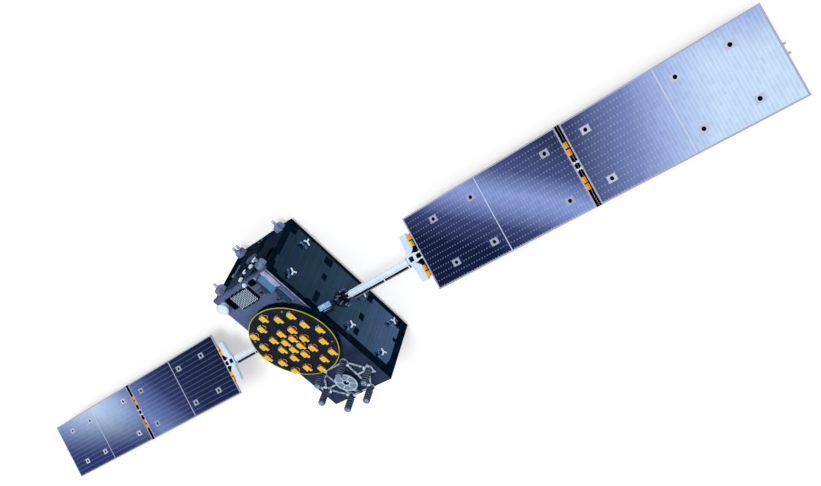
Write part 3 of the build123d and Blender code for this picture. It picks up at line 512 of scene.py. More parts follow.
@dataclass(frozen=True)
class Mirror(Finish):
    """Mirror-foil radiator in narrow tiles that stand along Z, with a painted reflection that lightens it towards the
    rear.
    """

    name: str
    stops: Stops
    seam: Color
    tile_width: float = 0.020
    tile_height: float = 0.040

    def paint(self, graph: Graph) -> None:
        """Tints each tile by itself and draws the gaps between them.

        Args:
            graph: The material's graph.
        """
        where = graph.place()
        x, _, z = graph.axes(where)
        gaps = graph.either(graph.lines(x, self.tile_width, 0.0022), graph.lines(z, self.tile_height, 0.0014))
        column = graph.step(x, self.tile_width)
        chance = graph.chance(column, graph.step(z, self.tile_height))
        strip = graph.node("TexWhiteNoise", {1: column}, noise_dimensions="1D").outputs[0]
        cloud = graph.noise(where, 2.6, 4.0, 0.6, 0.6)
        # Painted reflection: the tone follows a slant along the body and lightens towards the rear.
        body = graph.follow(graph.math("ADD", x, graph.both(z, 0.25)), self.stops)
        for factor, low, high in ((cloud, 0.7, 1.3), (strip, 0.86, 1.15), (chance, 0.94, 1.06)):
            body = graph.shaded(body, factor, low, high)
        graph.set(
            Base_Color=graph.blend(graph.both(gaps, 0.5), body, self.seam),
            Metallic=1.0,
            Roughness=graph.mix(chance, 0.12, 0.22),
            Normal=graph.bump(graph.either(gaps, graph.both(cloud, FAR)), 0.0005),
        )


@dataclass(frozen=True)
class PrismArray(Finish):
    """Retroreflector prisms whose painted glints run together in wavy pale lines over a dark tray."""

    name: str
    glass: Color
    tray: Color
    middle: tuple[float, float] = (1.062, 0.082)
    pitch: float = 0.034

    def paint(self, graph: Graph) -> None:
        """Draws the prisms' wavy lines of painted glints on their tops.

        Args:
            graph: The material's graph.
        """
        where = graph.place()
        x, y, z = graph.axes(where)
        wave = graph.math("SINE", graph.both(graph.math("SUBTRACT", x, self.middle[0]), 2 * math.pi / self.pitch))
        moved = graph.math("ADD", graph.math("SUBTRACT", y, self.middle[1]), graph.both(wave, 0.006))
        # Painted glints: light caught in the prisms' facets, drawn as pale wavy lines.
        line = graph.lines(moved, self.pitch, 0.015)
        glass = graph.shaded(self.glass, graph.noise(where, 80.0, 3.0), 0.8, 1.2)
        graph.set(
            Base_Color=graph.blend(graph.both(line, graph.above(z, DECK_Z + 0.036)), self.tray, glass),
            Specular_IOR_Level=0.15,
            Roughness=graph.mix(line, 0.5, 0.18),
            Normal=graph.bump(wave, 0.0008),
        )


@dataclass(frozen=True)
class Wash:
    """Painted reflection of soft light over a panel, in colours that follow a slanted line across it."""

    slant: float
    stops: Stops
    # Colour that the painted reflection turns to towards one edge, where one is given.
    dark: Color | None = None
    fade: Span = (0.0, 1.0)
    lean: float = 0.0

    def paint(self, graph: Graph, along: Socket, across: Socket) -> Socket:
        """Colour of the painted reflection.

        Args:
            graph: The material's graph.
            along: Distance from the body's middle, along the wing.
            across: Distance from the wing's middle line.

        Returns:
            The colour's output socket.
        """
        body = graph.follow(graph.math("ADD", along, graph.both(across, self.slant)), self.stops)
        if self.dark is None:
            return body
        reach = graph.math("MULTIPLY_ADD", along, self.lean, across)
        return graph.blend(graph.fade(reach, *self.fade), body, self.dark)


@dataclass(frozen=True)
class Cells(Finish):
    """Face of a solar panel: dark cells under a painted reflection, pale contact dots, a divider and a pale edge."""

    name: str
    side: Side
    start: float
    wash: Wash
    dots_from: float
    plate: Color
    divider: float = 1.26
    divider_width: float = 0.013
    edge_width: float = 0.020
    row_pitch: float = 0.0797
    first_row: float = -0.4454
    dot_pitch: float = 0.0443
    dot_length: float = 0.019
    dot_width: float = 0.015
    seat_edge: float = 0.05
    weave_pitch: float = 0.0064
    skin: float = 0.001
    line: Color = (192, 203, 230)
    divide: Color = (196, 204, 222)
    edge: Color = (164, 168, 194)
    back: Color = (26, 28, 38)
    seat: Color = (6, 8, 14)

    def paint(self, graph: Graph) -> None:
        """Paints the reflection over the cells, then lays the dots, the edge and the hold-down plates over them.

        Args:
            graph: The material's graph.
        """
        x, y, n = graph.axes(graph.wing_place())
        across = graph.both(x, -1.0)
        out = graph.both(y, float(self.side.value))
        along = graph.math("SUBTRACT", out, self.start)
        half = graph.math("ABSOLUTE", across)
        phase = graph.math("SUBTRACT", out, self.dots_from)
        row = graph.step(graph.math("SUBTRACT", across, self.first_row), self.row_pitch)
        # Painted reflection over the cells, varied cell by cell.
        body = graph.shaded(self.wash.paint(graph, out, across),
                            graph.chance(graph.step(phase, self.dot_pitch), row), 0.95, 1.05)
        swing = graph.math("COSINE", graph.both(phase, 2 * math.pi / self.dot_pitch))
        stripe = graph.math("MULTIPLY_ADD", swing, 0.5, 0.5)
        body = graph.shaded(body, stripe, 0.93, 1.04)
        dots = graph.both(graph.lines(across, self.row_pitch, self.dot_width, self.first_row),
                          graph.lines(phase, self.dot_pitch, self.dot_length))
        body = graph.blend(graph.both(dots, 0.23), body, self.line)
        divide = graph.band(along, self.divider - self.divider_width / 2, self.divider + self.divider_width / 2)
        rim = graph.either(graph.above(half, PANEL_WIDTH / 2 - self.edge_width), graph.under(along, self.edge_width),
                           graph.above(along, PANEL_LENGTH - self.edge_width))
        is_plate = graph.above(n, HALF_PANEL + self.skin / 2)
        face = graph.blend(rim, graph.blend(divide, body, self.divide), self.edge)
        face = graph.blend(is_plate, face, self.plate)
        inset = self.seat_edge
        in_seat = graph.both(graph.band(n, 0.0, HALF_PANEL - self.skin), graph.under(half, PANEL_WIDTH / 2 - inset),
                             graph.band(along, inset, PANEL_LENGTH - inset))
        weave = graph.either(*[graph.lines(axis, self.weave_pitch, self.weave_pitch / 4) for axis in (along, across)])
        back = graph.shaded(self.back, weave, 1.0, 1.5)
        shell = graph.blend(graph.above(n, self.skin - HALF_PANEL), back, self.edge)
        shell = graph.blend(graph.above(n, HALF_PANEL - self.skin), shell, face)
        graph.set(
            Base_Color=graph.blend(in_seat, shell, self.seat),
            Specular_IOR_Level=0.0,
            Roughness=graph.mix(graph.either(divide, rim, is_plate), 0.24, 0.55),
            Normal=graph.bump(graph.either(dots, graph.both(stripe, 0.4)), 0.0003),
        )


@dataclass
class Piece:
    """A new mesh piece, started from a primitive and shaped in edit mode."""

    object: bpy.types.Object
    name: str
    body: str = ""
    slot: str = ""
    count: ClassVar[int] = 0

    def __post_init__(self) -> None:
        """Names the object and its mesh."""
        self.object.name = self.object.data.name = self.name

    @staticmethod
    def clear() -> None:
        """Leaves edit mode and selects nothing."""
        if bpy.context.object is not None and bpy.context.object.mode != "OBJECT":
            bpy.ops.object.mode_set(mode="OBJECT")
        bpy.ops.object.select_all(action="DESELECT")

    @classmethod
    def started(cls, name: str) -> "Piece":
        """The primitive just added, with its place and size put into its mesh."""
        bpy.ops.object.transform_apply(location=True, rotation=True, scale=True)
        return cls(bpy.context.object, name)

    @classmethod
    def block(cls, name: str, middle: Point, size: Point) -> "Piece":
        """A box.

        Args:
            name: The piece's name.
            middle: Its middle.
            size: Its length along each axis.

        Returns:
            The new piece.
        """
        cls.clear()
        bpy.ops.mesh.primitive_cube_add(size=1.0, location=middle, scale=size)
        return cls.started(name)

    @classmethod
    def round(cls, name: str, middle: Point, radius: float, height: float, sides: int = 24,
              turn: Point = (0, 0, 0)) -> "Piece":
        """A cylinder.

        Args:
            name: The piece's name.
            middle: Its middle.
            radius: Its radius.
            height: Its length.
            sides: How many sides it has.
            turn: How its axis is turned from upright.

        Returns:
            The new piece.
        """
        cls.clear()
        bpy.ops.mesh.primitive_cone_add(vertices=sides, radius1=radius, radius2=radius, depth=height,
                                        location=middle, rotation=turn)
        return cls.started(name)

    @classmethod
    def sheet(cls, name: str, middle: Point, size: tuple[float, float], turn: Point, step: float) -> "Piece":
        """A flat grid.

        Args:
            name: The piece's name.
            middle: Its middle.
            size: Its two lengths before it is turned.
            turn: How it is turned.
            step: Size of one square of the grid.

        Returns:
            The new piece.
        """
        cls.clear()
        columns, rows = (round(length / step) for length in size)
        bpy.ops.mesh.primitive_grid_add(x_subdivisions=columns, y_subdivisions=rows, size=1.0, location=middle,
                                        rotation=turn)
        bpy.context.object.scale = (*size, 1.0)
        return cls.started(name)

    def take(self) -> None:
        """Makes the piece the only one selected, and the active one."""
        Piece.clear()
        self.object.select_set(True)
        bpy.context.view_layer.objects.active = self.object

    def edit(self, mode: int = 0) -> bmesh.types.BMesh:
        """Opens the piece in edit mode with nothing selected.

        Args:
            mode: 0 to pick points, 1 to pick edges, 2 to pick faces.

        Returns:
            The mesh that is edited.
        """
        bpy.context.tool_settings.mesh_select_mode = tuple(number == mode for number in range(3))
        if self.object.mode != "EDIT":
            self.take()
            bpy.ops.object.mode_set(mode="EDIT")
        bpy.ops.mesh.select_all(action="DESELECT")
        return bmesh.from_edit_mesh(self.object.data)

    def faces(self, test: Test) -> "Piece":
        """Selects faces.

        Args:
            test: What a face's middle and normal have to pass.

        Returns:
            The piece.
        """
        for face in self.edit(2).faces:
            face.select_set(test(face.calc_center_median(), face.normal))
        bmesh.update_edit_mesh(self.object.data)
        return self

    def edges(self, test: Test) -> "Piece":
        """Selects edges.

        Args:
            test: What an edge's middle and direction have to pass.

        Returns:
            The piece.
        """
        for edge in self.edit(1).edges:
            start, finish = edge.verts[0].co, edge.verts[1].co
            edge.select_set(test((start + finish) / 2, (finish - start).normalized()))
        bmesh.update_edit_mesh(self.object.data)
        return self

    def inset(self, width: float, depth: float = 0.0, each: bool = False) -> "Piece":
        """Insets the selected faces and moves them along their normals."""
        bpy.ops.mesh.inset(thickness=width, depth=depth, use_individual=each, use_even_offset=True)
        return self

    def push(self, x: float, y: float, z: float) -> "Piece":
        """Extrudes the selected faces."""
        bpy.ops.mesh.extrude_region_move(TRANSFORM_OT_translate={"value": (x, y, z)})
        return self

    def stretch(self, size: Point, middle: Point) -> "Piece":
        """Scales what is selected from a point."""
        bpy.ops.transform.resize(value=size, center_override=middle)
        return self

    def bevel(self, width: float, segments: int = 2) -> "Piece":
        """Rounds the selected edges."""
        bpy.ops.mesh.bevel(offset=width, segments=segments, affect="EDGES", clamp_overlap=True)
        return self

    def divide(self, cuts: int) -> "Piece":
        """Subdivides what is selected."""
        bpy.ops.mesh.subdivide(number_cuts=cuts)
        return self

    def modifier(self, kind: str, **settings: object) -> "Piece":
        """Adds a modifier and applies it.

        Args:
            kind: Its type.
            settings: Its settings.

        Returns:
            The piece.
        """
        self.take()
        made = self.object.modifiers.new(kind.lower(), kind)
        for key, value in settings.items():
            setattr(made, key, value)
        bpy.ops.object.modifier_apply(modifier=made.name)
        return self

    def crumple(self, size: float, depth: float) -> "Piece":
        """Pushes the mesh in and out by a cloud texture.

        Args:
            size: Size of the clouds.
            depth: How far they move a point from end to end.

        Returns:
            The piece.
        """
        clouds = bpy.data.textures.new(f"clouds_{self.name}", "CLOUDS")
        clouds.noise_scale = size
        clouds.noise_depth = 3
        return self.modifier("DISPLACE", texture=clouds, strength=depth, mid_level=0.5, direction="NORMAL",
                             texture_coords="LOCAL")

    def close(self, sides: int) -> "Piece":
        """Fills the holes, merges doubles and points every face outwards.

        Args:
            sides: The most sides that a hole has.

        Returns:
            The piece.
        """
        self.edit()
        bpy.ops.mesh.select_all(action="SELECT")
        bpy.ops.mesh.fill_holes(sides=sides)
        bpy.ops.mesh.select_all(action="SELECT")
        bpy.ops.mesh.remove_doubles(threshold=0.0001)
        bpy.ops.mesh.select_all(action="SELECT")
        bpy.ops.mesh.normals_make_consistent(inside=False)
        return self

    def place(self, move: Matrix) -> "Piece":
        """Moves the mesh.

        Args:
            move: The matrix of the move.

        Returns:
            The piece.
        """
        Piece.clear()
        self.object.data.transform(move)
        return self

    def fit(self, finish: Finish, slot: str, body: str = "bus", smooth: float = 35.0) -> "Piece":
        """Finishes the piece and hangs it on its body.

        Args:
            finish: Its finish.
            slot: The record's material slot.
            body: The body that it rides on.
            smooth: The largest angle between faces that is shaded smooth.

        Returns:
            The piece.
        """
        self.take()
        bpy.ops.object.shade_smooth_by_angle(angle=math.radians(smooth))
        self.object.data.materials.clear()
        self.object.data.materials.append(finish.material())
        self.body, self.slot = body, slot
        return self.hang()

    def hang(self) -> "Piece":
        """Hangs the piece on its body's empty and counts it.

        Returns:
            The piece.
        """
        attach(self.object, self.body)
        Piece.count += 1
        return self

    def tint(self, finish: Finish, test: Test) -> "Piece":
        """Gives some faces another finish.

        Args:
            finish: The finish.
            test: What a face's middle and normal have to pass.

        Returns:
            The piece.
        """
        Piece.clear()
        self.object.data.materials.append(finish.material())
        for face in self.object.data.polygons:
            if test(face.center, face.normal):
                face.material_index = len(self.object.data.materials) - 1
        return self

    def copy(self, name: str, move: Matrix, finish: Finish | None = None) -> "Piece":
        """A copy with its own mesh.

        Args:
            name: The copy's name.
            move: Where it goes from the first one.
            finish: Its finish, where that differs.

        Returns:
            The copy, on the same body.
        """
        twin = self.object.copy()
        twin.data = self.object.data.copy()
        bpy.context.scene.collection.objects.link(twin)
        if finish is not None:
            twin.data.materials[0] = finish.material()
        return Piece(twin, name, self.body, self.slot).place(move).hang()

    def repeat(self, moves: list[Matrix]) -> None:
        """Copies the piece to more places and numbers the copies from 2."""
        for number, move in enumerate(moves, 2):
            self.copy(f"{self.name.removesuffix('_1')}_{number}", move)

    def spread(self, moves: list[Matrix]) -> None:
        """Copies the piece to every place but the first, and moves it there."""
        self.repeat(moves[1:])
        self.place(moves[0])


@dataclass
class Studio:
    """Floor, lights, surroundings and camera."""

    floor_half: float = 60.0
    eye: Point = (4.5811, -8.9392, 9.3473)
    forward: Point = (-0.36750, 0.56772, -0.73664)
    roll: float = -161.362
    lens: float = 39.025

    def shown_rays(self, graph: Graph) -> Socket:
        """Mask of the rays that look at something: camera, glossy and transmission rays."""
        path = graph.node("LightPath")
        return graph.either(*[path.outputs[f"Is {kind} Ray"] for kind in ("Camera", "Glossy", "Transmission")])

    def floor(self) -> None:
        """A pale floor that looks white where it is open and keeps the shadow."""
        bpy.ops.object.select_all(action="DESELECT")
        bpy.ops.mesh.primitive_plane_add(size=2 * self.floor_half, location=(0, 0, 0))
        plane = bpy.context.object
        plane.name = "floor"
        material = bpy.data.materials.new("pale_floor")
        graph = Graph(material)
        graph.set(
            Base_Color=(0.80, 0.80, 0.80, 1.0),
            Roughness=0.9,
            Emission_Color=(1.0, 1.0, 1.0, 1.0),
            Emission_Strength=graph.both(self.shown_rays(graph), 0.34),
            Specular_IOR_Level=0.0,
        )
        plane.data.materials.append(material)

    def surroundings(self) -> None:
        """A pale world that is white to whatever looks at it."""
        world = bpy.data.worlds.new("studio")
        bpy.context.scene.world = world
        graph = Graph(world)
        graph.set(Color=(1.0, 1.0, 1.0, 1.0), Strength=graph.math("MULTIPLY_ADD", self.shown_rays(graph), 0.40, 0.60))

    def lamp(self, name: str, toward: Point, strength: float, spread: float) -> None:
        """A far, soft lamp.

        Args:
            name: The lamp's name.
            toward: Direction from the object to the lamp.
            strength: Its strength.
            spread: Its width in degrees, as seen from the object.
        """
        data = bpy.data.lights.new(name, "SUN")
        data.energy = strength
        data.angle = math.radians(spread)
        lamp = bpy.data.objects.new(name, data)
        bpy.context.scene.collection.objects.link(lamp)
        lamp.rotation_mode = "QUATERNION"
        lamp.rotation_quaternion = Vector(toward).to_track_quat("Z", "Y")

    def camera(self) -> None:
        """The camera, turned about its own axis of view."""
        data = bpy.data.cameras.new("camera")
        data.lens = self.lens
        data.sensor_width = 36.0
        data.clip_end = 500.0
        camera = bpy.data.objects.new("camera", data)
        bpy.context.scene.collection.objects.link(camera)
        view = Vector(self.forward).normalized()
        level = view.cross(Vector((0, 0, 1))).normalized()
        upright = level.cross(view)
        angle = math.radians(self.roll)
        right = level * math.cos(angle) + upright * math.sin(angle)
        turned = Matrix((right, right.cross(view), -view)).transposed()
        camera.matrix_world = Matrix.Translation(self.eye) @ turned.to_4x4()
        bpy.context.scene.camera = camera

    def build(self) -> None:
        """Sets up everything round the object."""
        bpy.context.scene.view_settings.view_transform = "Standard"
        self.floor()
        self.surroundings()
        self.lamp("main_lamp", (0.45, -0.35, 1.0), 1.35, 25.0)
        self.lamp("side_lamp", (0.7, -1.0, 0.35), 0.45, 40.0)
        self.camera()


WHITE_PAINT = Paint("white_paint", (222, 240, 254), (208, 228, 248), 0.45, specular=0.2)
PALE_STRIP = Paint("pale_strip", (166, 176, 212), (116, 128, 166), 0.45)
GREY_PAINT = Paint("grey_paint", (96, 108, 140), (54, 66, 94), scale=14.0)
BLACK_PAINT = Paint("black_paint", (8, 26, 42), (2, 16, 30))
BLACK_RUBBER = Paint("black_rubber", (4, 10, 18), (0, 4, 10), 0.6)
BARE_METAL = Paint("bare_metal", (176, 194, 224), (104, 120, 152), 0.4, 0.3)
BLUE_GLASS = Paint("blue_glass", (10, 16, 28), (2, 6, 12), 0.12, specular=0.1)
SALMON_FILM = Paint("salmon_film", (214, 138, 108), (150, 92, 84))
PEACH_FILM = Paint("peach_film", (232, 166, 112), (190, 112, 76))
SLATE_LAMINATE = Paint("slate_laminate", (52, 58, 76), (28, 34, 50))
GREY_LAMINATE = Paint("grey_laminate", (178, 176, 190), (126, 122, 140))
END_FOIL = Blanket("end_foil", (26, 40, 58), (8, 18, 32), (66, 80, 110), (
    Zone((2, 12, 24), x=FRONT, y=(0.36, FAR)),
    Zone((26, 37, 56), x=FRONT, y=(-0.56, -0.13), z=(0.22, 0.66)),
    Zone((44, 56, 80), x=FRONT, y=(-0.20, 0.36), z=(0.82, 1.12)),
    # Painted shadow: a dark line between two blankets.
    Zone((0, 8, 16), x=FRONT, y=(-0.13, -0.04), z=(0.16, 0.50)),
    Zone((4, 16, 30), x=FRONT, z=(0.0, 0.13)),
))


@dataclass
class Body:
    """The box body: decks, ends, sides, radiators, fittings and brackets."""

    rail_length: float = 0.76
    bracket_feet: float = RADIATOR_FACE + 0.0085
    bracket_heads: float = 0.6715
    blanket_gap: float = 0.008
    blanket_step: float = 0.018
    plate_x: float = -0.85
    tray_start: Point = (0.155, 0.0, 0.850)
    tray_end: Point = (0.275, 0.0, 1.075)
    tray_width: float = 0.078

    def dress(self) -> None:
        """Dresses the frame's own pieces of the body."""
        # The dip to the darkest tone at x = -0.55 is painted shadow just behind the antenna drum.
        DeckFoil("deck_foil", (
            (1.25, (92, 107, 143)), (0.8, (88, 103, 140)), (-0.3, (56, 72, 104)),
            (-0.55, (34, 48, 72)), (-0.85, (50, 64, 94)), (-1.25, (44, 58, 88)),
        ), (2, 14, 26)).dress("nadir_deck")
        BLACK_PAINT.dress("zenith_deck", "side_panel_left", "side_panel_right")
        END_FOIL.dress("end_panel_front", "end_panel_rear")
        # Painted reflection: the radiators' tones lighten towards the rear.
        Mirror("mirror_foil", (
            (1.2, (22, 44, 62)), (0.3, (36, 58, 80)), (-0.4, (48, 72, 98)), (-1.1, (66, 92, 126)),
        ), (14, 28, 42)).dress("radiator_left", "radiator_right")
        BARE_METAL.dress("separation_fittings")
        for side in Side:
            # Painted reflection and painted shade: the pale blue of the bracket feet stands for the brackets' mirror
            # image in the radiator foil, and the dark band between feet and heads is painted shade.
            Paint(f"bracket_{side.word}", (96, 146, 192), (62, 100, 142), zones=(
                Zone((24, 34, 50), y=side.span(self.bracket_feet, FAR)),
                Zone((220, 232, 250), y=side.span(self.bracket_heads, FAR)),
            )).dress(f"hold_down_brackets_{side.word}")

    def deck_trim(self) -> None:
        """Pale strips and rails along the nadir deck's edges."""
        middle = HALF_LENGTH - self.rail_length / 2
        (Piece.block("deck_cover_strip", (1.0925, -0.515, DECK_Z + 0.006), (0.305, 0.100, 0.012))
         .faces(UP).inset(0.010, -0.004).edges(UPRIGHT).bevel(0.012, 3).fit(PALE_STRIP, "blanket"))
        (Piece.block("deck_corner_patch", (1.190, -0.315, DECK_Z + 0.004), (0.105, 0.055, 0.008))
         .edges(UPRIGHT).bevel(0.010, 3).fit(PALE_STRIP, "blanket"))
        for name, y, width, height, radius, segments, finish, slot in (
            ("deck_rail", -0.589, 0.016, 0.008, 0.003, 2, PALE_STRIP, "bare_aluminium"),
            ("deck_rail_gap", -0.573, 0.014, 0.004, 0.001, 1, BLACK_RUBBER, "black_paint"),
        ):
            (Piece.block(name, (middle, y, DECK_Z + height / 2), (self.rail_length, width, height))
             .edges(lambda m, d: m.z > DECK_Z + height - 0.001 and abs(d.x) > ALIGNED)
             .bevel(radius, segments).fit(finish, slot))
        (Piece.block("front_ledge", (HALF_LENGTH + 0.006, 0.0, DECK_Z - 0.026), (0.012, 1.196, 0.050))
         .faces(AHEAD).inset(0.008, -0.003).fit(Paint("ledge_foil", (84, 98, 130), (60, 72, 102)), "dark_blanket"))

    def blankets(self) -> None:
        """Crumpled insulation on the two ends and under the zenith deck."""
        reach, quarter = HALF_LENGTH + self.blanket_gap, math.pi / 2
        for name, middle, size, turn in (
            ("front_blanket", (reach, 0.0, AXIS_Z - 0.026), (1.01, 1.14), (0.0, quarter, 0.0)),
            ("rear_blanket", (-reach, 0.0, AXIS_Z), (1.04, 1.14), (0.0, -quarter, 0.0)),
            ("under_blanket", (0.0, 0.0, STAND - self.blanket_gap), (2.44, 1.14), (math.pi, 0.0, 0.0)),
        ):
            (Piece.sheet(name, middle, size, turn, self.blanket_step).crumple(0.16, 0.012).crumple(0.05, 0.006)
             .modifier("SOLIDIFY", thickness=0.003, offset=-1.0).fit(END_FOIL, "dark_blanket", smooth=SOFT))

    def front_details(self) -> None:
        """Small things on the thruster end: a recess in black painted shade, black blocks and knobs."""
        # Painted shade: the black block stands for the dark inside a recess.
        (Piece.block("dark_recess", (HALF_LENGTH + 0.012, -0.495, 0.825), (0.020, 0.060, 0.29))
         .faces(AHEAD).inset(0.007).push(-0.012, 0.0, 0.0).fit(BLACK_RUBBER, "black_paint"))
        for number, (y, z) in enumerate(((0.007, 1.008), (0.003, 0.866), (-0.055, 0.770)), 1):
            (Piece.block(f"relay_block_{number}", (HALF_LENGTH + 0.014, y, z), (0.028, 0.062, 0.072))
             .faces(AHEAD).inset(0.010, 0.006).edges(runs((1, 0, 0))).bevel(0.006).fit(BLACK_RUBBER, "black_paint"))
        (Piece.round("end_knob_1", (HALF_LENGTH + 0.016, 0.102, 0.161), 0.015, 0.024, 16, ALONG_X)
         .faces(AHEAD).inset(0.004, 0.003).fit(GREY_PAINT, "grey_paint").repeat([shift(0.0, -0.084, 0.004)]))

    def under_details(self) -> None:
        """Umbilical plate with its sockets and fill valves under the zenith deck."""
        face = STAND - 0.016
        (Piece.block("umbilical_plate", (self.plate_x, 0.20, face), (0.16, 0.26, 0.014))
         .faces(DOWN).inset(0.010, -0.004).edges(UPRIGHT).bevel(0.012, 3).fit(BARE_METAL, "bare_aluminium"))
        (Piece.round("umbilical_socket_1", (self.plate_x, 0.14, face - 0.014), 0.040, 0.026, 28)
         .faces(DOWN).inset(0.008).push(0.0, 0.0, 0.016).fit(BLACK_RUBBER, "black_paint")
         .repeat([shift(0.0, 0.12, 0.0)]))
        (Piece.round("fill_valve_1", (self.plate_x, -0.30, face - 0.010), 0.016, 0.032, 12)
         .faces(DOWN).inset(0.005).push(0.0, 0.0, 0.012).fit(BARE_METAL, "bare_steel")
         .repeat([shift(0.0, 0.07 * k, 0.0) for k in (1, 2, 3)]))

    def trays(self) -> None:
        """Perforated tray from each wing drive towards the nadir deck, pale blue as a painted reflection of the yoke
        arm in the radiator foil.
        """
        start, finish = Vector(self.tray_start), Vector(self.tray_end)
        length = (finish - start).length
        angle = math.degrees(math.atan2(finish.x - start.x, finish.z - start.z))
        x, _, z = (start + finish) / 2
        # Painted reflection: the tray's pale blues stand for the yoke arm's mirror image in the radiator foil.
        rim = Paint("tray_rim", (200, 226, 250), (120, 176, 220), 0.4, scale=24.0)
        holes = Paint("tray_holes", (104, 160, 208), (160, 200, 236), 0.4, scale=30.0)
        for side in Side:
            out = side.value
            face = out * RADIATOR_FACE
            turn = spun((x, face, z), angle, "Y")
            (Piece.block(f"drive_harness_tray_{side.word}", (x, face + out * 0.005, z),
                         (self.tray_width, 0.010, length))
             .faces(looks((0, out, 0))).divide(5).faces(looks((0, out, 0))).inset(0.0030, -0.004, each=True)
             .fit(rim, "white_paint")
             .tint(holes, lambda c, n: abs(c.y) < HALF_WIDTH + 0.012 and abs(n.y) > ALIGNED).place(turn))
            (Piece.round(f"drive_harness_rod_{side.word}", (x - 0.062, face + out * 0.010, z - 0.010), 0.006,
                         length * 0.62, 10)
             .edges(lambda m, d: abs(d.z) < ACROSS).bevel(0.002).fit(BARE_METAL, "bare_aluminium").place(turn))

    def build(self) -> None:
        """Builds and dresses the body."""
        self.dress()
        self.deck_trim()
        self.blankets()
        self.front_details()
        self.under_details()
        self.trays()


@dataclass
class NavigationAntenna:
    """The round antenna: drum, face, rim and raised elements with their lobes and hoods."""

    rings: tuple[tuple[float, float, int], ...] = ((0.578, 0.0, 8), (0.488, 22.5, 8), (0.290, 45.0, 4),
                                                   (0.236, 0.0, 4), (0.112, 45.0, 4))
    lobes: str = "PPPPggggPPPPggggggPPggPPggPP"
    hoods: str = "wwSSSSwwwwSSSSwwSwwSSwwSSwwS"
    lobe_offset: float = 0.041
    lobe_radius: float = 0.042
    lobe_height: float = 0.028
    dots: tuple[float, ...] = (-32.0, -118.0, 59.0, 152.0)
    dot_radius: float = 0.600
    rib_count: int = 36

    def places(self) -> list[tuple[float, float]]:
        """Middles of the elements, ring by ring."""
        return [(DISC_X + radius * math.cos(math.radians(first + 360 * k / count)),
                 radius * math.sin(math.radians(first + 360 * k / count)))
                for radius, first, count in self.rings for k in range(count)]

    def dress(self) -> None:
        """Dresses the frame's own pieces of the antenna."""
        BLACK_PAINT.dress("antenna_drum")
        Paint("antenna_charcoal", (34, 42, 57), (28, 36, 50), scale=5.0).dress("antenna_face")
        Paint("rim_film", (6, 14, 24), (2, 8, 16), zones=(
            Zone((196, 182, 66), z=(DECK_Z + 0.134, FAR)),)).dress("antenna_rim")
        top = FACE_TOP + 0.040
        Paint("element_film", (72, 62, 64), (40, 40, 50), scale=30.0, zones=(
            Zone((226, 164, 50), z=(top - 0.0005, top + 0.0125)),
            Zone((236, 206, 92), z=(top + 0.0125, FAR)),
        )).dress("antenna_cups")

    def elements(self) -> None:
        """An oval lobe beside every element, a hood on its front and a plate on its top."""
        x, y = self.places()[0]
        lobe = (Piece.round("element_lobe_1", (x, y - self.lobe_offset, FACE_TOP + self.lobe_height / 2),
                            self.lobe_radius, self.lobe_height, 20)
                .faces(UP).inset(0.011).push(0.0, 0.0, -0.012)
                .edges(lambda m, d: abs(d.z) < ACROSS and m.z > FACE_TOP + self.lobe_height - 0.001).bevel(0.003)
                .fit(SLATE_LAMINATE, "slate_laminate"))
        hood = (Piece.block("element_hood_1", (x + 0.0505, y + 0.004, FACE_TOP + 0.028), (0.007, 0.074, 0.044))
                .edges(runs((1, 0, 0))).bevel(0.012, 3).faces(AHEAD).inset(0.005, -0.002)
                .fit(GREY_LAMINATE, "slate_laminate"))
        top = (Piece.block("element_top_1", (x, y, FACE_TOP + 0.054), (0.080, 0.080, 0.002))
               .edges(UPRIGHT).bevel(0.007).faces(UP).inset(0.009).push(0.0, 0.0, -0.0008)
               .fit(Paint("element_rim", (240, 212, 96), (232, 196, 60)), "yellow_film")
               .tint(Paint("element_gold", (240, 184, 8), (246, 198, 20), scale=30.0),
                     lambda c, n: n.z > ALIGNED and c.z < FACE_TOP + 0.0545))
        made = [lobe]
        for number, (a, b) in enumerate(self.places()[1:], 2):
            move = shift(a - x, b - y, 0.0)
            made.append(lobe.copy(f"element_lobe_{number}", move))
            top.copy(f"element_top_{number}", move)
            if self.hoods[number - 1] == "w":
                hood.copy(f"element_hood_{number}", move)
            else:
                hood.copy(f"element_hood_salmon_{number}", move, SALMON_FILM)
        for kind, piece, (_, b) in zip(self.lobes, made, self.places()):
            if kind == "P":
                outer = b - self.lobe_offset - 0.008
                piece.tint(PEACH_FILM, lambda c, n: c.z > FACE_TOP + 0.018 and c.y < outer)

    def trim(self) -> None:
        """Dots on the face and ribs round the drum."""
        middle = (DISC_X, 0.0, 0.0)
        (Piece.round("face_dot_1", (DISC_X + self.dot_radius, 0.0, FACE_TOP + 0.004), 0.013, 0.008, 12)
         .faces(UP).inset(0.004, 0.002).fit(BARE_METAL, "bare_aluminium")
         .spread([spun(middle, angle) for angle in self.dots]))
        (Piece.block("drum_rib_1", (DISC_X + 0.654, 0.0, DECK_Z + 0.052), (0.014, 0.010, 0.104))
         .edges(lambda m, d: abs(d.z) > ALIGNED and m.x > DISC_X + 0.655).bevel(0.003)
         .fit(Paint("rib_paint", (24, 38, 56), (12, 24, 40)), "black_paint")
         .repeat([spun(middle, 360 * k / self.rib_count) for k in range(1, self.rib_count)]))

    def build(self) -> None:
        """Builds and dresses the antenna."""
        self.dress()
        self.elements()
        self.trim()


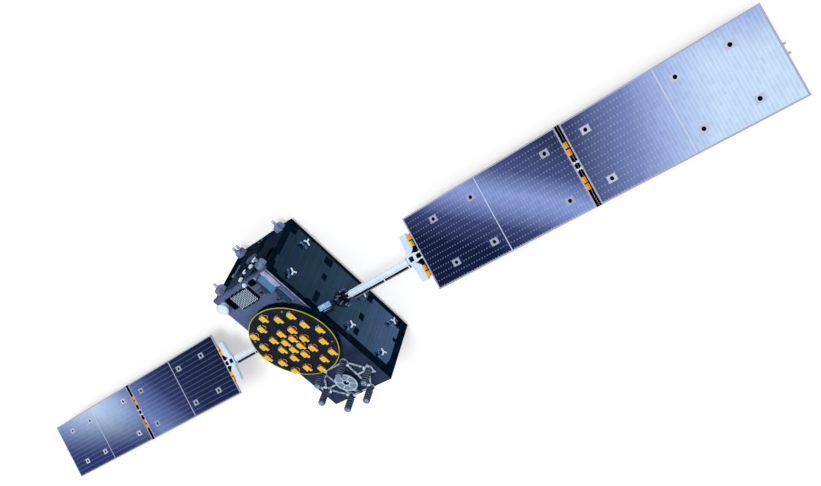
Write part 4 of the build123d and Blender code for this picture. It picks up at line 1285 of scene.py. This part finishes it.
@dataclass
class RescueAntenna:
    """The hexagonal antenna: six wound helices, struts and a round plate."""

    shares: tuple[tuple[float, float], ...] = ((1, -0.5), (0, -1), (-1, -0.44), (-1, 0.44), (0, 1), (1, 0.5))
    wire: float = 0.0045
    wire_sides: int = 8
    winding_radius: float = 0.0495
    winding_start: float = 0.092
    winding_pitch: float = 0.043
    turns: int = 5
    strut_angle: float = 55.0

    def corners(self) -> list[tuple[float, float]]:
        """Middles of the helices."""
        return [(RESCUE_X + a * RESCUE_HALF[0], RESCUE_Y + b * RESCUE_HALF[1]) for a, b in self.shares]

    def dress(self) -> None:
        """Dresses the frame's own pieces of the antenna."""
        Paint("strut_paint", (200, 214, 236), (124, 138, 166), scale=22.0).dress("rescue_frame")
        Paint("plate_paint", (200, 216, 236), (160, 176, 204), scale=20.0, zones=(
            Zone((122, 140, 164), z=(DECK_Z + 0.1155, DECK_Z + 0.1225)),
            Zone((60, 74, 98), z=(DECK_Z, DECK_Z + 0.112)),
        )).dress("rescue_plate")
        Paint("cap_paint", (150, 164, 190), (96, 108, 134), scale=26.0).dress("helix_caps")
        Paint("helix_slate", (62, 76, 104), (32, 46, 68), scale=26.0).dress("helix_posts")

    def windings(self) -> None:
        """The wire wound round each helix, and the bolt on its cap."""
        moves = [shift(a, b, 0.0) for a, b in self.corners()]
        Piece.clear()
        bpy.ops.mesh.primitive_circle_add(vertices=self.wire_sides, radius=self.wire, rotation=ALONG_Y,
                                          location=(self.winding_radius, 0.0, DECK_Z + self.winding_start))
        (Piece.started("helix_winding_1")
         .modifier("SCREW", axis="Z", angle=2 * math.pi, screw_offset=self.winding_pitch, iterations=self.turns,
                   steps=24, render_steps=24, use_merge_vertices=False).close(self.wire_sides)
         .fit(Paint("winding_wire", (112, 130, 162), (60, 74, 100), 0.4, scale=30.0), "slate_laminate", smooth=SOFT)
         .spread(moves))
        (Piece.round("cap_bolt_1", (0.0, 0.0, DECK_Z + 0.3400), 0.016, 0.004, 6)
         .faces(UP).inset(0.005, -0.002).fit(BARE_METAL, "bare_steel").spread(moves))

    def clamps(self) -> None:
        """White clamps where the struts meet the helices, and the feed in the plate's bore."""
        moves = []
        for a, b in self.corners():
            inward = math.degrees(math.atan2(RESCUE_Y - b, RESCUE_X - a))
            for turn in (inward - self.strut_angle, inward + self.strut_angle):
                moves.append(shift(a, b, 0.0) @ Matrix.Rotation(math.radians(turn), 4, "Z"))
        (Piece.block("strut_clamp_1", (0.066, 0.0, DECK_Z + 0.078), (0.036, 0.046, 0.020))
         .edges(lambda m, d: True).bevel(0.004).fit(WHITE_PAINT, "white_paint").spread(moves))
        (Piece.round("plate_feed", (RESCUE_X, RESCUE_Y, DECK_Z + 0.100), 0.030, 0.050, 20)
         .faces(UP).inset(0.008).push(0.0, 0.0, 0.012).fit(BLACK_RUBBER, "black_paint"))
        (Piece.block("plate_feed_pin", (RESCUE_X + 0.012, RESCUE_Y - 0.02, DECK_Z + 0.128), (0.012, 0.060, 0.010))
         .edges(lambda m, d: True).bevel(0.003).fit(WHITE_PAINT, "white_paint"))

    def build(self) -> None:
        """Builds and dresses the antenna."""
        self.dress()
        self.windings()
        self.clamps()


@dataclass
class DeckUnits:
    """Small units on the nadir deck, and the thrusters and units of the front end."""

    pods: tuple[tuple[float, float], ...] = ((-0.442, 0.208), (0.414, 0.212), (0.498, 0.212), (0.460, 1.024),
                                             (-0.468, 1.028))

    def dress(self) -> None:
        """Dresses the frame's own pieces of the units."""
        PrismArray("prism_glass", (178, 200, 224), (38, 52, 78)).dress("reflector_array")
        Paint("front_sensor", (44, 70, 94), (34, 56, 78), 0.45, zones=(
            Zone((82, 128, 172), y=(-0.47, -0.396), z=(DECK_Z + 0.002, FAR)),)).dress("earth_sensor_front")
        Paint("rear_sensor", (44, 66, 90), (36, 56, 78), 0.45, zones=(
            Zone((84, 128, 172), y=(-0.53, -0.512), z=(DECK_Z + 0.002, FAR)),)).dress("earth_sensor_rear")
        Paint("barrel_paint", (92, 104, 132), (56, 66, 90), scale=16.0, zones=(
            Zone((220, 240, 250), x=(1.18, 1.25)),)).dress("lens_barrels")
        Paint("pod_paint", (128, 144, 182), (84, 98, 132), scale=14.0).dress("thruster_pods")
        BLACK_RUBBER.dress("equipment_boxes")
        Paint("dish_paint", (210, 232, 248), (190, 212, 232), 0.4).dress("command_antenna")
        BARE_METAL.dress("thruster_nozzles")
        Paint("unit_paint", (92, 102, 132), (44, 52, 76), scale=34.0, zones=(
            Zone((232, 242, 252), y=(-0.15, 0.05), z=(0.68, 1.2)),
            Zone((120, 132, 164), y=(0.25, 0.40)),
        )).dress("end_units")

    def sensors(self) -> None:
        """Windows in the sloped faces of the earth sensors, their feet and connectors."""
        length, glass_top = 0.235, 0.003
        for name, middle, width, drop, rim, rim_shade, glass, glass_shade in (
            ("front", (1.070, -0.428, DECK_Z + 0.042), 0.062, 0.056,
             (66, 122, 168), (90, 140, 186), (112, 128, 180), (72, 100, 146)),
            ("rear", (0.783, -0.502, DECK_Z + 0.040), 0.038, 0.046,
             (50, 74, 98), (40, 60, 84), (34, 54, 76), (44, 66, 90)),
        ):
            lean = math.degrees(math.atan2(drop, width * 0.99))
            (Piece.block(f"sensor_window_{name}", middle, (length, width, 0.008))
             .faces(UP).inset(0.009).push(0.0, 0.0, -0.004).edges(UPRIGHT).bevel(0.004)
             .fit(Paint(f"window_frame_{name}", rim, rim_shade, 0.4, scale=18.0), "blue_housing")
             .tint(Paint(f"window_glass_{name}", glass, glass_shade, 0.2, specular=0.1, scale=24.0),
                   lambda c, n: n.z > ALIGNED and c.z < middle[2] + glass_top)
             .place(spun(middle, lean, "X")))
        (Piece.block("sensor_tab_1", (1.220, -0.425, DECK_Z + 0.010), (0.034, 0.040, 0.020))
         .faces(UP).inset(0.007, 0.008).edges(UPRIGHT).bevel(0.005).fit(GREY_PAINT, "grey_paint")
         .repeat([shift(-0.300, 0.0, 0.0), shift(-0.285, -0.060, 0.0), shift(-0.585, -0.060, 0.0)]))

    def lenses(self) -> None:
        """Dark lenses inside the barrels and blocks beside them."""
        for number, (x, y, z, radius) in enumerate(((1.018, -0.285, 0.052, 0.034), (0.797, -0.378, 0.047, 0.026)), 1):
            (Piece.round(f"barrel_lens_{number}", (x, y, DECK_Z + z + 0.004), radius - 0.0005, 0.008)
             .faces(UP).inset(radius * 0.3, 0.003).inset(radius * 0.3, 0.0015)
             .fit(BLUE_GLASS, "black_paint", smooth=SOFT))
        (Piece.block("barrel_block", (1.010, -0.212, DECK_Z + 0.026), (0.085, 0.050, 0.052))
         .faces(UP).inset(0.010, 0.010).edges(UPRIGHT).bevel(0.006).fit(GREY_PAINT, "grey_paint"))

    def array_edges(self) -> None:
        """Black notches along three edges of the reflector array."""
        for name, place, size, radius, count, step in (
            ("array_notch", (0.960, -0.114, 0.022), (0.022, 0.014, 0.044), 0.003, 7, (0.034, 0.0)),
            ("array_edge_front", (1.188, -0.060, 0.023), (0.024, 0.034, 0.046), 0.004, 4, (0.0, 0.0935)),
            ("array_edge_rear", (0.936, -0.060, 0.023), (0.024, 0.034, 0.046), 0.004, 4, (0.0, 0.0935)),
        ):
            (Piece.block(f"{name}_1", (place[0], place[1], DECK_Z + place[2]), size)
             .edges(UPRIGHT).bevel(radius).fit(BLACK_RUBBER, "black_paint")
             .repeat([shift(step[0] * k, step[1] * k, 0.0) for k in range(1, count)]))

    def rings(self) -> None:
        """Ring of the command antenna, and a bolted flange and throat ring for every nozzle."""
        (Piece.round("dish_ring", (1.113, 0.500, DECK_Z + 0.101), 0.078, 0.003, 40)
         .faces(UP).inset(0.010).push(0.0, 0.0, -0.002).fit(WHITE_PAINT, "white_paint"))
        y, z = self.pods[0]
        moves = [shift(0.0, b - y, c - z) for b, c in self.pods[1:]]
        (Piece.round("nozzle_flange_1", (1.353, y, z), 0.029, 0.008, turn=ALONG_X)
         .faces(AHEAD).inset(0.005, 0.003).fit(GREY_PAINT, "grey_paint").repeat(moves))
        (Piece.round("nozzle_lip_1", (1.421, y, z), 0.0225, 0.012, turn=ALONG_X)
         .faces(AHEAD).inset(0.005).push(-0.010, 0.0, 0.0).fit(WHITE_PAINT, "bare_steel").repeat(moves))

    def build(self) -> None:
        """Builds and dresses the units."""
        self.dress()
        self.sensors()
        self.lenses()
        self.array_edges()
        self.rings()


@dataclass
class Wing:
    """One solar wing with its drive and yoke."""

    side: Side
    washes: dict[Place, Wash]
    clamps: tuple[float, float] = (1.457, 1.930)
    strip_across: float = 0.075
    arm_start: float = 0.80
    arm_end: float = 1.955
    clamp_length: float = 0.015
    housing_radius: float = 0.0868
    lug: float = 0.044
    lug_half: float = 0.018
    pads: tuple[Span, Span] = ((0.1455, 0.2215), (0.2385, 0.3145))

    def local(self, across: float, along: float, off: float) -> Point:
        """A point in the wing's own frame, before it is laid out by lay()."""
        return (-self.side.value * across, along, off)

    def lay(self) -> Matrix:
        """Lays the wing's own frame into the satellite's.

        Returns:
            The matrix from the one to the other.
        """
        normal = Vector((math.sin(TILT), 0.0, math.cos(TILT)))
        out = Vector((0.0, self.side.value, 0.0))
        turn = Matrix((out.cross(normal), out, normal)).transposed().to_4x4()
        return shift(0.0, 0.0, AXIS_Z) @ turn

    def dress_drive(self) -> None:
        """Dresses the drive, the arm, the crossbar and the harness."""
        word = self.side.word
        Paint(f"drive_paint_{word}", (20, 26, 38), (2, 6, 14), scale=26.0, zones=(
            # Lighter outer rim of the housing, brightened to pale blue by a painted reflection.
            Zone((104, 120, 156), ring=(self.housing_radius, FAR)),
            Zone((34, 50, 70), y=self.side.span(0.0, HALF_WIDTH + 0.0185)),
        )).dress(f"drive_housing_{word}")
        Paint(f"hub_metal_{word}", (40, 46, 62), (16, 20, 30), 0.45, scale=20.0, wing=self.side, zones=(
            Zone((198, 210, 234), y=(0.722, 0.80)),)).dress(f"drive_hub_{word}")
        WHITE_PAINT.dress(f"yoke_arm_{word}")
        # Painted shade: black fills the crossbar's pocket and rims its edge.
        eye = Zone((2, 4, 10), x=(-FAR, 0.036), y=(YOKE_HINGE - 0.169, YOKE_HINGE - 0.093), z=(-0.020, FAR))
        Paint(f"crossbar_paint_{word}", (208, 228, 248), (196, 216, 240), 0.45, wing=self.side,
              zones=(eye,)).dress(f"yoke_crossbar_{word}")
        white = [Zone((214, 226, 244), y=(at - 0.0085, at + 0.0085)) for at in self.clamps]
        Paint(f"harness_{word}", (4, 6, 12), (0, 2, 6), wing=self.side, zones=(
            Zone((128, 132, 146), x=(self.strip_across + 0.006, FAR)), *white)).dress(f"harness_strip_{word}")

    def dress_hinges(self) -> None:
        """Dresses the leaves, strips and lugs of the fold hinges."""
        for line, axis, high, low, amber in (("yoke", YOKE_HINGE, 0.0085, -0.0085, (244, 180, 12)),
                                             ("panel", PANEL_HINGE, 0.0105, -0.0005, (244, 160, 12))):
            top = (high, FAR)
            pads = [Zone(amber, x=span, z=top) for span in self.pads]
            red = [Zone((222, 118, 34), x=span, y=(axis + 0.020, axis + 0.1), z=top) for span in self.pads]
            backs = [Zone((150, 100, 30), x=span, z=(-FAR, low)) for span in self.pads]
            lug = Zone((224, 234, 246), x=(self.lug - self.lug_half, self.lug + self.lug_half), z=top)
            for part, zones in (("fixed", (*pads, *backs, lug)), ("moving", (*pads, *red, *backs, lug))):
                Paint(f"{line}_{part}_{self.side.word}", (6, 8, 14), (0, 2, 8), scale=24.0, zones=zones,
                      wing=self.side).dress(f"{line}_hinge_{part}_{self.side.word}")

    def dress_panels(self) -> None:
        """Dresses the two panels."""
        # The hold-down plates are darker on the inner panel and lighter on the outer: painted shade and painted light
        # on the same plates.
        for place, start, dots, plate in ((Place.INNER, INNER_START, 2.262, (158, 164, 186)),
                                          (Place.OUTER, OUTER_START, 4.8639, (184, 191, 214))):
            Cells(f"{place.value}_cells_{self.side.word}", self.side, start, self.washes[place], dots, plate).dress(
                f"{place.value}_panel_{self.side.word}")

    def arm_lines(self) -> None:
        """Fine rails along the arm's top, the collar at its end, and cables and clamps on the harness strip."""
        word, body = self.side.word, f"yoke_{self.side.word}"
        length, middle = self.arm_end - self.arm_start, (self.arm_end + self.arm_start) / 2
        rail_paint = Paint("rail_paint", (168, 186, 218), (146, 164, 200))
        collar_paint = Paint("collar_paint", (120, 134, 170), (90, 104, 140))
        for number, across in enumerate((-0.030, 0.030), 1):
            (Piece.block(f"arm_rail_{word}_{number}", self.local(across, middle, 0.0255), (0.004, length, 0.003))
             .edges(lambda m, d: m.z > 0.026 and abs(d.y) > ALIGNED).bevel(0.001, 1)
             .fit(rail_paint, "white_paint", body).place(self.lay()))
        (Piece.block(f"arm_collar_{word}", self.local(0.0, self.arm_end, 0.0), (0.108, 0.010, 0.058))
         .faces(lambda m, n: abs(n.y) > ALIGNED).inset(0.003, -0.002)
         .fit(collar_paint, "white_paint", body).place(self.lay()))
        for number, off in enumerate((-0.011, 0.0), 1):
            (Piece.round(f"harness_cable_{word}_{number}", self.local(self.strip_across + off, middle + 0.02, 0.0105),
                         0.0045, length - 0.10, 10, ALONG_Y)
             .edges(lambda m, d: abs(d.y) < ACROSS).bevel(0.0015)
             .fit(BLACK_RUBBER, "black_paint", body, 50.0).place(self.lay()))
        for number, along in enumerate(self.clamps, 1):
            (Piece.block(f"harness_clamp_{word}_{number}", self.local(self.strip_across, along, 0.0125),
                         (0.044, self.clamp_length, 0.010))
             .faces(UP).inset(0.003, 0.002).fit(WHITE_PAINT, "white_paint", body).place(self.lay()))

    def panel_backs(self) -> None:
        """Flat harness and stiffening patches on the backs of both panels."""
        amber = Paint("back_film", (120, 84, 40), (82, 58, 30), scale=20.0)
        thickness = 0.003
        off = -HALF_PANEL - thickness / 2
        for place, start in ((Place.INNER, INNER_START), (Place.OUTER, OUTER_START)):
            stem, body = f"{place.value}_{self.side.word}", f"{place.value}_wing_{self.side.word}"
            for number, across in enumerate((-0.20, 0.20), 1):
                (Piece.block(f"back_harness_{stem}_{number}", self.local(across, start + PANEL_LENGTH / 2, off),
                             (0.050, PANEL_LENGTH - 0.12, thickness))
                 .faces(DOWN).divide(3).edges(UPRIGHT).bevel(0.006)
                 .fit(amber, "orange_film", body).place(self.lay()))
            (Piece.block(f"back_collector_{stem}_1", self.local(0.0, start + 0.20, off), (0.92, 0.030, thickness))
             .edges(UPRIGHT).bevel(0.006).fit(amber, "orange_film", body)
             .spread([self.lay() @ shift(0.0, 0.426 * k, 0.0) for k in range(6)]))

    def drive_legs(self) -> None:
        """Pale legs that stand round the drive's housing on the radiator."""
        out, high = self.side.value, AXIS_Z + 0.140
        face = out * RADIATOR_FACE
        hub = (0.0, face, AXIS_Z)
        (Piece.block(f"drive_leg_{self.side.word}_1", (0.0, face + out * 0.030, high), (0.010, 0.060, 0.010))
         .faces(looks((0, -out, 0))).stretch((2.2, 1.0, 2.2), (0.0, face, high))
         .edges(lambda m, d: abs(d.y) > 0.7).bevel(0.002)
         .fit(Paint("leg_paint", (120, 136, 172), (84, 100, 134)), "bare_aluminium")
         .place(spun(hub, 40.0, "Y")).repeat([spun(hub, angle, "Y") for angle in (120.0, 240.0)]))

    def build(self) -> None:
        """Builds and dresses the wing."""
        self.dress_drive()
        self.dress_hinges()
        self.dress_panels()
        self.arm_lines()
        self.panel_backs()
        self.drive_legs()


# Painted reflections of soft light across each panel of both wings.
LEFT_REFLECTIONS = {
    Place.INNER: Wash(0.6, ((2.05, (20, 31, 62)), (3.3, (31, 41, 78)), (3.85, (51, 61, 108)),
                            (4.3, (86, 100, 152)), (4.72, (108, 126, 179)), (4.9, (92, 108, 158)))),
    Place.OUTER: Wash(0.7, ((4.6, (110, 127, 175)), (5.1, (160, 181, 222)), (5.65, (185, 207, 235)),
                            (6.3, (165, 187, 225)), (7.4, (105, 124, 170))), (42, 54, 106), (0.265, 1.385), 0.15),
}
RIGHT_REFLECTIONS = {
    Place.INNER: Wash(-1.45, ((1.6, (18, 29, 60)), (2.6, (20, 30, 64)), (3.2, (56, 67, 114)), (3.72, (124, 141, 198)),
                              (3.95, (131, 150, 206)), (4.48, (70, 80, 130)), (5.2, (44, 54, 90)))),
    Place.OUTER: Wash(0.3, ((4.77, (56, 67, 104)), (5.5, (113, 128, 182)), (6.0, (157, 177, 223)),
                            (6.5, (189, 212, 240)), (7.5, (193, 216, 241))), (140, 160, 216), (-2.55, -3.25), -0.35),
}


def main() -> None:
    """Builds the whole satellite, then its studio."""
    logging.basicConfig(level=logging.INFO, format="%(message)s")
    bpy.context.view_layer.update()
    for part in (Body(), NavigationAntenna(), RescueAntenna(), DeckUnits(), Wing(Side.LEFT, LEFT_REFLECTIONS),
                 Wing(Side.RIGHT, RIGHT_REFLECTIONS), Studio()):
        before = Piece.count
        part.build()
        log.info("built %s with %d new pieces", type(part).__name__, Piece.count - before)


if __name__ == "__main__":
    main()
